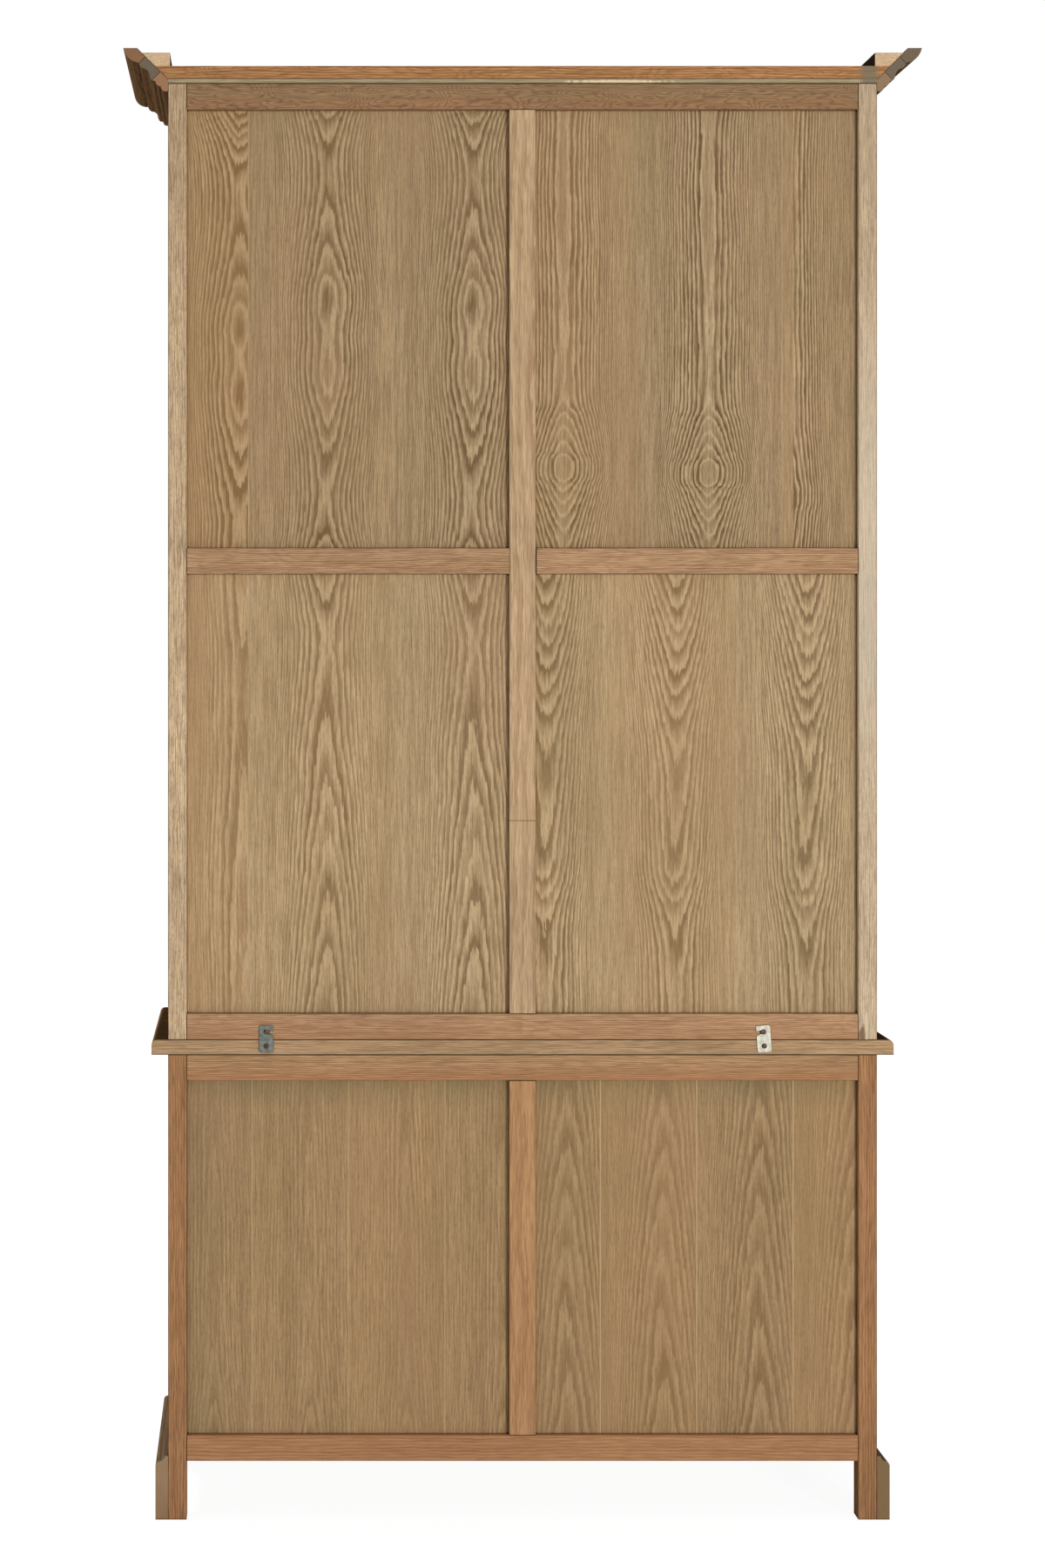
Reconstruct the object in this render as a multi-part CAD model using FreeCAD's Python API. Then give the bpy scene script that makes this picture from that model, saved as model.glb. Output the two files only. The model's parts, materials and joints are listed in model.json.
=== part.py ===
import FreeCAD, Part
import math
import os

# A two-part oak cupboard: a base with two drawers over two doors, and a taller upper
# case with two doors, under a moulded crown. Both cases are post-and-rail frames with
# thin panels. Sizes are in millimetres. The floor is at z = 0 and the front faces -Y.
# Left and right are as seen from the front.

# Overall form
body_width = 1065.0             # outer faces of the posts, both cases
base_depth = 425.0              # back plane to the front face of the base
upper_depth = 382.5             # back plane to the front face of the upper case
base_height = 698.0             # floor to the underside of the waist board
upper_height = 1435.5           # waist board to the top of the upper posts

# Waist board, which tops the base and carries the upper case
waist_thickness = 23.0
waist_overhang = 25.0
waist_round = 9.0

# Frame stock
stock = 28.0                    # width of the posts and thickness of the rails
post_depth = 40.0
rail_height = 38.5
stile_width = 39.5
foot_height = 88.0              # floor to the underside of the base's bottom rails
mid_rail_level = 699.5          # waist board to the underside of the middle rails
arris = 0.8                     # small chamfer along the edges of the stock
tenon_length = 18.0
tenon_thickness = 8.0
shrink_gap = 1.5                # open shoulder of one middle rail against the stile

# Panels of the back and the sides
panel_thickness = 6.0
panel_recess = 12.0
groove_depth = 8.0

# Boards and shelves
board_thickness = 18.0
shelf_play = 1.0                # clearance of a loose shelf at each end
shelf_setback = 8.0             # from the back of the doors to the edge of a shelf
cleat_width = 12.0              # cleats that carry the loose shelves
cleat_height = 18.0
low_shelf_level = 352.0         # waist board to the underside of the lower loose shelf
high_shelf_level = 1050.0       # waist board to the underside of the higher loose shelf
base_shelf_level = 190.0        # bottom board to the underside of the base's shelf

# Doors
door_gap = 2.0
door_thickness = 22.0
door_stile_width = 62.0
door_top_rail_height = 62.0
door_lock_rail_height = 72.0
door_foot_rail_height = 78.0
door_tenon_length = 40.0
door_splay = 4.5                # sloping inner edge of a door frame
door_panel_depth = 8.0          # door face to the thin edge of its panel
door_panel_edge = 6.0           # thickness of the panel in its groove
field_bevel = 34.0              # width of the sloping border of a raised panel
field_rise = 4.0                # height of that slope
field_step = 2.0                # small upright step round the raised field

# Drawers
drawer_rail_height = 22.0
drawer_opening_height = 120.0
drawer_divider_width = 28.0
drawer_front_thickness = 22.0
drawer_side_thickness = 12.0
drawer_back_room = 53.0         # back plane to the back of a drawer
drawer_bottom_thickness = 5.0
drawer_bottom_rise = 10.0       # bottom panel above the lower edge of the sides
drawer_groove_depth = 5.0
drawer_top_play = 4.0
drawer_border = 12.0            # sloping border of a drawer front
drawer_border_fall = 4.0
running_clearance = 0.3
runner_width = 20.0
runner_height = 20.0
centre_runner_width = 68.0
centre_guide_width = 26.0

# Butt hinges
hinge_height = 70.0
hinge_knuckles = 3
hinge_flats = 10                # flats round a knuckle, a pin and a screw
hinge_leaf_width = 19.0
hinge_leaf_thickness = 1.6
knuckle_radius = 3.5
knuckle_play = 0.3
hinge_pin_radius = 1.6
hinge_pin_clearance = 0.05
hinge_pin_head_radius = 2.8
hinge_pin_head_height = 2.0
hinge_end_distance = 150.0      # end of an upper door to the middle of its hinge
base_hinge_end_distance = 75.0

# Knobs and door catches
knob_radius = 12.0
knob_projection = 24.0
knob_rose_radius = 13.0
knob_rose_height = 2.5
knob_neck_radius = 4.5
knob_neck_length = 7.0
knob_belt = 5.0                 # height of the widest band
knob_ease = 1.5                 # small slopes at the neck and at the domed end
knob_flats = 20
base_knob_drop = 20.0           # below the top rail of a base door
catch_width = 40.0
catch_depth = 14.0
catch_height = 14.0
catch_offset = 10.0             # middle of the case to the near end of a catch

# Top of the upper case and its crown
top_panel_thickness = 7.0
crown_board_thickness = 19.5
crown_strip_height = 20.0
crown_strip_inset = 3.0         # inner face of the strips inside the body side
crown_overhang = 67.5
crown_height = 65.0
crown_drop = 11.5               # crown's lower edge below the top of the posts

# Plinth moulding round the foot
plinth_thickness = 19.0
plinth_height = 95.5
plinth_shoulder = 81.0          # height of the outer face
plinth_step_out = 11.5          # where the ovolo ends and the cove begins
plinth_step_height = 88.0
plinth_cap = 5.5                # flat on top
bracket_foot_width = 82.0
bracket_curve = 42.0            # radius of the shaped inner edge of a foot
bracket_rise = 50.0             # height of the cut-out

# Hook plates that tie the two cases together at the back
plate_width = 21.0
plate_thickness = 2.0
plate_below_pivot = 9.5
plate_above_pivot = 30.5
plate_corner = 2.0
hook_arm = 21.2                 # pivot screw to catch screw
hook_slot = 6.0                 # width of the hook's slot
hook_slot_sweep = 40.0          # degrees of arc that the slot follows to the edge
right_plate_inset = 147.5       # side of the body to the pivot of each hook
left_plate_inset = 169.5
left_plate_lean = 4.0           # degrees towards the middle
pivot_above_board_base = 13.6   # underside of the waist board to the pivot screw
screw_radius = 2.2
screw_length = 18.0
screw_head_radius = 4.0
screw_head_height = 1.8
screw_pivot_clearance = 0.08
recess_width = 1.1
recess_depth = 1.1
recess_span = 4.6

# Levels above the floor
waist_top = base_height + waist_thickness
base_bottom_rail_top = foot_height + rail_height
base_top_rail_base = base_height - rail_height
upper_bottom_rail_top = waist_top + rail_height
upper_mid_rail_base = waist_top + mid_rail_level
upper_mid_rail_top = upper_mid_rail_base + rail_height
upper_post_top = waist_top + upper_height
upper_top_rail_base = upper_post_top - rail_height
top_panel_top = upper_post_top + top_panel_thickness
crown_board_top = top_panel_top + crown_board_thickness
crown_strip_top = crown_board_top + crown_strip_height
crown_base = upper_post_top - crown_drop
crown_top = crown_base + crown_height
drawer_rail_top = base_top_rail_base - drawer_opening_height
drawer_rail_base = drawer_rail_top - drawer_rail_height

# Half widths, and the back plane that centres the whole in depth
half_body = body_width / 2
half_inside = half_body - stock
right_plate_x = half_body - right_plate_inset
left_plate_x = left_plate_inset - half_body
crown_front = upper_depth + crown_overhang
front_reach = max(crown_front, base_depth + waist_overhang, base_depth + knob_projection)
back_reach = plate_thickness + screw_head_height
back_y = (front_reach - back_reach) / 2

V = FreeCAD.Vector
nodes = {}


def place(x, depth, z):
    """A point from its distance in front of the back plane."""
    return V(x, back_y - depth, z)


def block(x0, x1, d0, d1, z0, z1):
    """A plain box between two values across, in depth and in height."""
    return Part.makeBox(x1 - x0, d1 - d0, z1 - z0, place(x0, d1, z0))


def prism(points, direction):
    """An extrusion of a closed polygon."""
    return Part.Face(Part.makePolygon(points + points[:1])).extrude(direction)


def eased_section(a0, a1, b0, b1):
    """The corners of a rectangle with a small chamfer at each."""
    return [
        (a0 + arris, b0), (a1 - arris, b0), (a1, b0 + arris), (a1, b1 - arris),
        (a1 - arris, b1), (a0 + arris, b1), (a0, b1 - arris), (a0, b0 + arris),
    ]


def upright(x0, x1, d0, d1, z0, z1):
    """A post or stile, with its long edges eased."""
    points = [place(x, d, z0) for x, d in eased_section(x0, x1, d0, d1)]
    return prism(points, V(0, 0, z1 - z0))


def crosswise(x0, x1, d0, d1, z0, z1):
    """A rail that runs across the case, with its long edges eased."""
    points = [place(x0, d, z) for d, z in eased_section(d0, d1, z0, z1)]
    return prism(points, V(x1 - x0, 0, 0))


def lengthwise(x0, x1, d0, d1, z0, z1):
    """A rail that runs from back to front, with its long edges eased."""
    points = [place(x, d0, z) for x, z in eased_section(x0, x1, z0, z1)]
    return prism(points, V(0, d0 - d1, 0))


def mirrored(shape):
    """The same piece on the other side of the case."""
    return shape.mirror(V(0, 0, 0), V(1, 0, 0))


def both_sides(shape):
    return [mirrored(shape), shape]


def joined(*shapes):
    return shapes[0].fuse(list(shapes[1:])).removeSplitter()


def housed(member, fillers):
    """A member with the mortises and grooves that its neighbours fill."""
    near = [f for f in fillers if member.BoundBox.intersect(f.BoundBox)]
    if not near:
        return member
    return member.cut(near)


def stacked(rings):
    """A closed solid with flat sides through a row of rings of as many corners."""
    faces = [rings[0], rings[-1]]
    for lower, upper in zip(rings, rings[1:]):
        for count in range(len(lower)):
            after = (count + 1) % len(lower)
            faces.append([lower[count], lower[after], upper[after], upper[count]])
    faces = [Part.Face(Part.makePolygon(corners + corners[:1])) for corners in faces]
    return Part.makeSolid(Part.makeShell(faces))


def turned(profile, start, axis, flats):
    """A turned form with narrow flats. The profile lists (distance along the axis, radius)."""
    across = V(1, 0, 0)
    turns = [FreeCAD.Rotation(axis, 360 * count / flats) for count in range(flats)]
    return stacked([
        [start + axis * distance + turn.multVec(across * radius) for turn in turns]
        for distance, radius in profile
    ])


def round_bar(radius, length, start, axis):
    """A straight bar."""
    return turned([(0.0, radius), (length, radius)], start, axis, hinge_flats)


def round_bore(radius, length, start, axis):
    """The room of a bore, whose flats lie outside its radius."""
    return round_bar(radius / math.cos(math.pi / hinge_flats), length, start, axis)


def arc(start, end, bulge):
    """An arc between two flat points; it bulges to the right of the way it runs."""
    run = (end[0] - start[0], end[1] - start[1])
    length = math.hypot(*run)
    middle = ((start[0] + end[0]) / 2, (start[1] + end[1]) / 2)
    return (middle[0] + bulge * run[1] / length, middle[1] - bulge * run[0] / length)


def outline(start, steps, to_space):
    """A closed face from lines and arcs. Each step is an end point and a bulge."""
    edges = []
    here = start
    if steps[-1][0] != start:
        steps = steps + [(start, 0.0)]
    for end, bulge in steps:
        if bulge:
            middle = arc(here, end, bulge)
            edges.append(Part.Arc(to_space(here), to_space(middle), to_space(end)).toShape())
        else:
            edges.append(Part.LineSegment(to_space(here), to_space(end)).toShape())
        here = end
    return Part.Face(Part.Wire(edges))


def cross_tenons(x0, x1, d_middle, z0, z1, length=tenon_length):
    """The tenons at the two ends of a rail that runs across."""
    d0 = d_middle - tenon_thickness / 2
    d1 = d_middle + tenon_thickness / 2
    low = z0 + groove_depth
    high = z1 - groove_depth
    return [
        block(x0 - length, x0, d0, d1, low, high),
        block(x1, x1 + length, d0, d1, low, high),
    ]


def side_tenons(d0, d1, x_middle, z0, z1):
    """The tenons at the two ends of a side rail."""
    x0 = x_middle - tenon_thickness / 2
    x1 = x_middle + tenon_thickness / 2
    low = z0 + groove_depth
    high = z1 - groove_depth
    return [
        block(x0, x1, d0 - tenon_length, d0, low, high),
        block(x0, x1, d1, d1 + tenon_length, low, high),
    ]


def post_tenons(x0, x1, d_middle, z0, z1):
    """The tenons at the foot and the head of a stile."""
    d0 = d_middle - tenon_thickness / 2
    d1 = d_middle + tenon_thickness / 2
    left = x0 + groove_depth
    right = x1 - groove_depth
    return [
        block(left, right, d0, d1, z0 - tenon_length, z0),
        block(left, right, d0, d1, z1, z1 + tenon_length),
    ]


def cleats(level, shelf_front):
    """The two cleats under one loose shelf, fixed to the posts."""
    return both_sides(block(
        half_inside - cleat_width, half_inside,
        stock + shelf_play, shelf_front - shelf_play,
        level - cleat_height, level,
    ))


def frame_case(foot, bottoms, top, face):
    """
    The frame of one case: posts, rails and panels of the back and of the right side.
    bottoms holds the undersides of the back's and side's rails, from low to high.
    """
    x_middle = half_body - stock / 2
    half_stile = stile_width / 2
    rails = []
    side_rails = []
    tenons = []
    panels = []
    side_panels = []

    for z in bottoms:
        z1 = z + rail_height
        ends = [(-half_inside, half_inside)]
        if z not in (bottoms[0], bottoms[-1]):
            ends = [(-half_inside, -half_stile - shrink_gap), (half_stile, half_inside)]
        for x0, x1 in ends:
            pins = cross_tenons(x0, x1, stock / 2, z, z1)
            rails.append(joined(crosswise(x0, x1, 0, stock, z, z1), *pins))
            tenons += pins
        d0 = post_depth
        d1 = face - post_depth
        pins = side_tenons(d0, d1, x_middle, z, z1)
        side_rails.append(joined(lengthwise(half_inside, half_body, d0, d1, z, z1), *pins))
        tenons += pins

    z0 = bottoms[0] + rail_height
    z1 = bottoms[-1]
    stile_tenons = post_tenons(-half_stile, half_stile, stock / 2, z0, z1)
    stile = joined(upright(-half_stile, half_stile, 0, stock, z0, z1), *stile_tenons)

    for low, high in zip(bottoms[:-1], bottoms[1:]):
        z0 = low + rail_height - groove_depth
        z1 = high + groove_depth
        x0 = half_stile - groove_depth
        x1 = half_inside + groove_depth
        d1 = panel_recess + panel_thickness
        panels.append(block(x0, x1, panel_recess, d1, z0, z1))
        d0 = post_depth - groove_depth
        d1 = face - post_depth + groove_depth
        x1 = half_body - panel_recess
        side_panels.append(block(x1 - panel_thickness, x1, d0, d1, z0, z1))

    fillers = panels + [mirrored(p) for p in panels] + side_panels
    back_post = upright(half_inside, half_body, 0, post_depth, foot, top)
    front_post = upright(half_inside, half_body, face - post_depth, face, foot, top)
    return {
        "back_post": housed(back_post, tenons + fillers),
        "front_post": housed(front_post, tenons + fillers),
        "rails": [housed(rail, stile_tenons + fillers) for rail in rails],
        "side_rails": [housed(rail, fillers) for rail in side_rails],
        "stile": housed(stile, tenons + fillers),
        "panels": panels,
        "side_panels": side_panels,
    }


def front_rail(z0, z1, face):
    """A rail between the front posts, and its tenons."""
    pins = cross_tenons(-half_inside, half_inside, face - stock / 2, z0, z1)
    return joined(crosswise(-half_inside, half_inside, face - stock, face, z0, z1), *pins), pins


def hinge(level, face):
    """A butt hinge on the right side: the post's leaf, the door's leaf and the pin."""
    axis_x = half_inside - door_gap / 2
    axis_depth = face + knuckle_radius + knuckle_play
    low = level - hinge_height / 2
    segment = hinge_height / hinge_knuckles
    bore_radius = hinge_pin_radius + hinge_pin_clearance
    up = V(0, 0, 1)

    def leaf(x0, x1, first, play):
        parts = [block(x0, x1, face - hinge_leaf_width, face, low, low + hinge_height)]
        for count in range(first, hinge_knuckles, 2):
            z0 = low + count * segment + play
            height = segment - 2 * play
            parts.append(block(x0, x1, face, axis_depth, z0, z0 + height))
            parts.append(round_bar(knuckle_radius, height, place(axis_x, axis_depth, z0), up))
        bore = round_bore(bore_radius, hinge_height, place(axis_x, axis_depth, low), up)
        return joined(*parts).cut(bore)

    door_edge = half_inside - door_gap
    post_leaf = leaf(half_inside, half_inside + hinge_leaf_thickness, 0, 0.0)
    door_leaf = leaf(door_edge - hinge_leaf_thickness, door_edge, 1, knuckle_play)
    pin = turned(
        [
            (0.0, hinge_pin_radius),
            (hinge_height, hinge_pin_radius),
            (hinge_height, hinge_pin_head_radius),
            (hinge_height + hinge_pin_head_height, hinge_pin_head_radius),
        ],
        place(axis_x, axis_depth, low), up, hinge_flats,
    )
    return post_leaf, door_leaf, pin


def frustum(x0, x1, z0, z1, inset, depth0, depth1):
    """A rectangle that shrinks by an inset on its way forward."""
    def ring(border, depth):
        corners = [
            (x0 + border, z0 + border), (x1 - border, z0 + border),
            (x1 - border, z1 - border), (x0 + border, z1 - border),
        ]
        return [place(x, depth, z) for x, z in corners]

    return stacked([ring(0.0, depth0), ring(inset, depth1)])


def raised_panel(x0, x1, z0, z1, face):
    """A door panel: a thin edge in the groove, a sloping border and a raised field."""
    edge_front = face - door_panel_depth
    plate = block(
        x0 - groove_depth, x1 + groove_depth,
        edge_front - door_panel_edge, edge_front,
        z0 - groove_depth, z1 + groove_depth,
    )
    slope = frustum(x0, x1, z0, z1, field_bevel, edge_front, edge_front + field_rise)
    field = block(
        x0 + field_bevel, x1 - field_bevel,
        edge_front + field_rise, edge_front + field_rise + field_step,
        z0 + field_bevel, z1 - field_bevel,
    )
    return joined(plate, slope, field)


def knob(x, z, face):
    """A turned knob on a round rose: neck, swelling, widest band and domed end."""
    neck_end = knob_rose_height + knob_neck_length
    dome_start = knob_projection - knob_ease
    belt_start = (neck_end + dome_start - knob_belt) / 2
    profile = [
        (0.0, knob_rose_radius),
        (knob_rose_height, knob_rose_radius),
        (knob_rose_height + knob_ease, knob_neck_radius),
        (neck_end, knob_neck_radius),
        (belt_start, knob_radius),
        (belt_start + knob_belt, knob_radius),
        (dome_start, (knob_radius + knob_neck_radius) / 2),
        (knob_projection, knob_neck_radius / 2),
    ]
    return turned(profile, place(x, face, z), V(0, -1, 0), knob_flats)


def door(z0, z1, face, lock_level, knob_level, leaves):
    """The right-hand door of a pair, and the knob on its meeting stile."""
    x0 = door_gap / 2
    x1 = half_inside - door_gap
    back = face - door_thickness
    middle = face - door_panel_depth - door_panel_edge / 2
    inner_x0 = x0 + door_stile_width
    inner_x1 = x1 - door_stile_width

    spans = [(z0, z0 + door_foot_rail_height)]
    if lock_level:
        half_lock = door_lock_rail_height / 2
        spans.append((lock_level - half_lock, lock_level + half_lock))
    spans.append((z1 - door_top_rail_height, z1))

    rails = []
    tenons = []
    for low, high in spans:
        pins = cross_tenons(inner_x0, inner_x1, middle, low, high, door_tenon_length)
        rails.append(joined(crosswise(inner_x0, inner_x1, back, face, low, high), *pins))
        tenons += pins
    panels = []
    splays = []
    for (_, low), (high, _) in zip(spans[:-1], spans[1:]):
        panels.append(raised_panel(inner_x0, inner_x1, low, high, face))
        splays.append(frustum(inner_x0, inner_x1, low, high, -door_splay, face - door_splay, face))

    stiles = [
        upright(x0, inner_x0, back, face, z0, z1),
        upright(inner_x1, x1, back, face, z0, z1),
    ]
    frame = [housed(s, tenons + panels + leaves + splays) for s in stiles]
    frame += [housed(r, panels + splays) for r in rails]
    return frame, panels, knob(x0 + door_stile_width / 2, knob_level, face)


def drawer(face):
    """The right-hand drawer: its front, its box with the bottom, and its knob."""
    x0 = drawer_divider_width / 2 + door_gap
    x1 = half_inside - door_gap
    z0 = drawer_rail_top + door_gap
    z1 = base_top_rail_base - door_gap
    back = face - drawer_front_thickness
    slope_start = face - drawer_border_fall
    front = joined(
        block(x0, x1, back, slope_start, z0, z1),
        frustum(x0, x1, z0, z1, drawer_border, slope_start, face),
    )

    low = drawer_rail_top + running_clearance
    high = base_top_rail_base - drawer_top_play
    rear = drawer_back_room
    t = drawer_side_thickness
    bottom = block(
        x0 + t - drawer_groove_depth, x1 - t + drawer_groove_depth,
        rear + t - drawer_groove_depth, back + drawer_groove_depth,
        low + drawer_bottom_rise, low + drawer_bottom_rise + drawer_bottom_thickness,
    )
    sides = [
        block(x0, x0 + t, rear, back, low, high),
        block(x1 - t, x1, rear, back, low, high),
        block(x0 + t, x1 - t, rear, rear + t, low, high),
    ]
    box = [housed(side, [bottom]) for side in sides] + [bottom]
    return housed(front, [bottom]), box, knob((x0 + x1) / 2, (z0 + z1) / 2, face)


def crown_section(to_space):
    """
    The crown's section, from its lower back corner: how far out and how far up.
    Beads swell outwards, the cove is hollow, and the top member takes what is left.
    """
    lift = top_panel_top - crown_base
    return outline(
        (0.0, 0.0),
        [
            ((3.3, 0.0), 0.0),
            ((10.5, 5.5), 1.9),
            ((11.6, 7.8), 0.0),
            ((19.0, 14.0), 1.8),
            ((19.7, 15.6), 0.0),
            ((27.0, 21.5), 1.8),
            ((27.6, 22.3), 0.0),
            ((33.8, 33.2), -1.9),
            ((34.4, 33.8), 0.0),
            ((43.7, 41.0), 1.6),
            ((44.2, 43.1), 0.0),
            ((crown_overhang - 0.8, crown_height - 3.0), 4.6),
            ((crown_overhang, crown_height), 0.0),
            ((crown_height - lift, crown_height), 0.0),
            ((0.0, lift), 0.0),
        ],
        to_space,
    )


def plinth_section(to_space):
    """The plinth's section: an upright board with a small ovolo and cove on top."""
    return outline(
        (0.0, 0.0),
        [
            ((plinth_thickness, 0.0), 0.0),
            ((plinth_thickness, plinth_shoulder), 0.0),
            ((plinth_step_out, plinth_step_height), 1.9),
            ((plinth_cap, plinth_height), -1.6),
            ((0.0, plinth_height), 0.0),
        ],
        to_space,
    )


def moulding(section, half, depth, out, z0, z1):
    """
    A moulding that runs round three sides, from a given half width and depth outwards:
    its right-hand return and its front, which meet in a mitre.
    """
    rise = V(0, 0, z1 - z0)
    side_plan = prism([
        place(half, 0, z0), place(half + out, 0, z0),
        place(half + out, depth + out, z0), place(half, depth, z0),
    ], rise)
    front_plan = prism([
        place(-half, depth, z0), place(half, depth, z0),
        place(half + out, depth + out, z0), place(-half - out, depth + out, z0),
    ], rise)
    side_face = section(lambda p: place(half + p[0], 0, z0 + p[1]))
    front_face = section(lambda p: place(-half - out, depth + p[0], z0 + p[1]))
    side_run = side_face.extrude(V(0, -depth - out, 0))
    front_run = front_face.extrude(V(2 * (half + out), 0, 0))
    return side_run.common(side_plan), front_run.common(front_plan)


def strip_section(to_space):
    """The section of the strip behind the crown: upright inside, sloping outside."""
    foot = crown_strip_inset + crown_board_thickness
    return outline(
        (0.0, 0.0),
        [
            ((foot, 0.0), 0.0),
            ((foot + crown_strip_height, crown_strip_height), 0.0),
            ((0.0, crown_strip_height), 0.0),
        ],
        to_space,
    )


def crown_board():
    """The board on top, whose edges lean outwards at 45 degrees against the crown."""
    def ring(out, z):
        side = half_body + out
        front = upper_depth + out
        return [place(-side, 0, z), place(side, 0, z), place(side, front, z), place(-side, front, z)]

    return stacked([ring(0.0, top_panel_top), ring(crown_board_thickness, crown_board_top)])


def bracket_cut(start, end, to_space, direction):
    """The shaped cut-out between two bracket feet."""
    curve = bracket_curve
    bulge = curve * (1 - math.sqrt(0.5))
    face = outline(
        (start, 0.0),
        [
            ((end, 0.0), 0.0),
            ((end, bracket_rise - curve), 0.0),
            ((end - curve, bracket_rise), bulge),
            ((start + curve, bracket_rise), 0.0),
            ((start, bracket_rise - curve), bulge),
        ],
        to_space,
    )
    return face.extrude(direction)


def screw(x, z):
    """A pan-head screw through a hook plate, with a cross recess."""
    rim = screw_head_height / 2
    profile = [
        (-screw_length, screw_radius),
        (plate_thickness, screw_radius),
        (plate_thickness, screw_head_radius),
        (plate_thickness + rim, screw_head_radius),
        (plate_thickness + screw_head_height, screw_head_radius - rim),
    ]
    whole = turned(profile, place(x, 0, z), V(0, 1, 0), hinge_flats)
    end = -plate_thickness - screw_head_height
    slots = [
        block(x - w / 2, x + w / 2, end, end + recess_depth, z - h / 2, z + h / 2)
        for w, h in ((recess_width, recess_span), (recess_span, recess_width))
    ]
    return whole.cut(slots)


def hook_plate(x, z, towards, lean):
    """
    A flat steel hook that swings on its lower screw. Its slot opens towards the middle
    and follows an arc about that screw, so that the plate can swing clear of the upper one.
    """
    half = plate_width / 2
    low = -plate_below_pivot
    high = plate_above_pivot
    c = plate_corner
    through = V(0, plate_thickness, 0)

    def to_space(p):
        return place(x + towards * p[0], 0, z + p[1])

    corners = [
        (-half + c, low), (half - c, low), (half, low + c), (half, high - c),
        (half - c, high), (-half + c, high), (-half, high - c), (-half, low + c),
    ]
    body = prism([to_space(corner) for corner in corners], through)

    def round_pivot(radius, angle):
        turn = math.radians(angle)
        return (radius * math.sin(turn), radius * math.cos(turn))

    outer = hook_arm + hook_slot / 2
    inner = hook_arm - hook_slot / 2
    sweep = hook_slot_sweep
    swell = 1 - math.cos(math.radians(sweep / 2))
    slot = outline(
        round_pivot(outer, 0),
        [
            (round_pivot(inner, 0), hook_slot / 2),
            (round_pivot(inner, sweep), -inner * swell),
            (round_pivot(outer, sweep), 0.0),
            (round_pivot(outer, 0), outer * swell),
        ],
        to_space,
    )
    bore_radius = screw_radius + screw_pivot_clearance
    bore = round_bore(bore_radius, plate_thickness, place(x, 0, z), V(0, 1, 0))
    plate = body.cut([slot.extrude(through), bore])
    plate.rotate(place(x, 0, z), V(0, 1, 0), towards * lean)
    return plate


# Frames of the two cases
upper_bottoms = [waist_top, upper_mid_rail_base, upper_top_rail_base]
upper = frame_case(waist_top, upper_bottoms, upper_post_top, upper_depth)
base = frame_case(0.0, [foot_height, base_top_rail_base], base_height, base_depth)

upper_front_levels = [
    (waist_top, upper_bottom_rail_top),
    (upper_top_rail_base, upper_post_top),
]
base_front_levels = [
    (foot_height, base_bottom_rail_top),
    (drawer_rail_base, drawer_rail_top),
    (base_top_rail_base, base_height),
]
upper_front = [front_rail(z0, z1, upper_depth) for z0, z1 in upper_front_levels]
base_front = [front_rail(z0, z1, base_depth) for z0, z1 in base_front_levels]
upper_front_tenons = [pin for _, pins in upper_front for pin in pins]
base_front_tenons = [pin for _, pins in base_front for pin in pins]

half_divider = drawer_divider_width / 2
divider_span = (drawer_rail_top, base_top_rail_base)
divider_tenons = post_tenons(-half_divider, half_divider, base_depth - stock / 2, *divider_span)
divider = upright(-half_divider, half_divider, base_depth - stock, base_depth, *divider_span)

# Levels of the loose shelves
upper_shelf_levels = [waist_top + low_shelf_level, waist_top + high_shelf_level]
base_shelf_underside = base_bottom_rail_top + base_shelf_level

# Door openings, hinges and doors
upper_door_span = (upper_bottom_rail_top + door_gap, upper_top_rail_base - door_gap)
base_door_span = (base_bottom_rail_top + door_gap, drawer_rail_base - door_gap)
upper_hinge_levels = [
    upper_door_span[0] + hinge_end_distance,
    sum(upper_door_span) / 2,
    upper_door_span[1] - hinge_end_distance,
]
base_hinge_levels = [
    base_door_span[0] + base_hinge_end_distance,
    base_door_span[1] - base_hinge_end_distance,
]
upper_hinges = [hinge(level, upper_depth) for level in upper_hinge_levels]
base_hinges = [hinge(level, base_depth) for level in base_hinge_levels]
upper_post_leaves, upper_door_leaves, upper_pins = map(list, zip(*upper_hinges))
base_post_leaves, base_door_leaves, base_pins = map(list, zip(*base_hinges))

upper_lock_level = upper_mid_rail_base + rail_height / 2
upper_door = door(*upper_door_span, upper_depth, upper_lock_level, upper_lock_level, upper_door_leaves)
base_knob_level = base_door_span[1] - door_top_rail_height - base_knob_drop
base_door = door(*base_door_span, base_depth, None, base_knob_level, base_door_leaves)

# Hook plates and their screws
pivot_level = base_height + pivot_above_board_base
plates = {
    "right_hook_plate": (right_plate_x, -1, 0.0),
    "left_hook_plate": (left_plate_x, 1, left_plate_lean),
}
screws = []
for name, (x, towards, lean) in plates.items():
    nodes[name] = [hook_plate(x, pivot_level, towards, lean)]
    turn = math.radians(lean)
    screws.append(screw(x, pivot_level))
    screws.append(screw(x + towards * hook_arm * math.sin(turn), pivot_level + hook_arm * math.cos(turn)))

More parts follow.
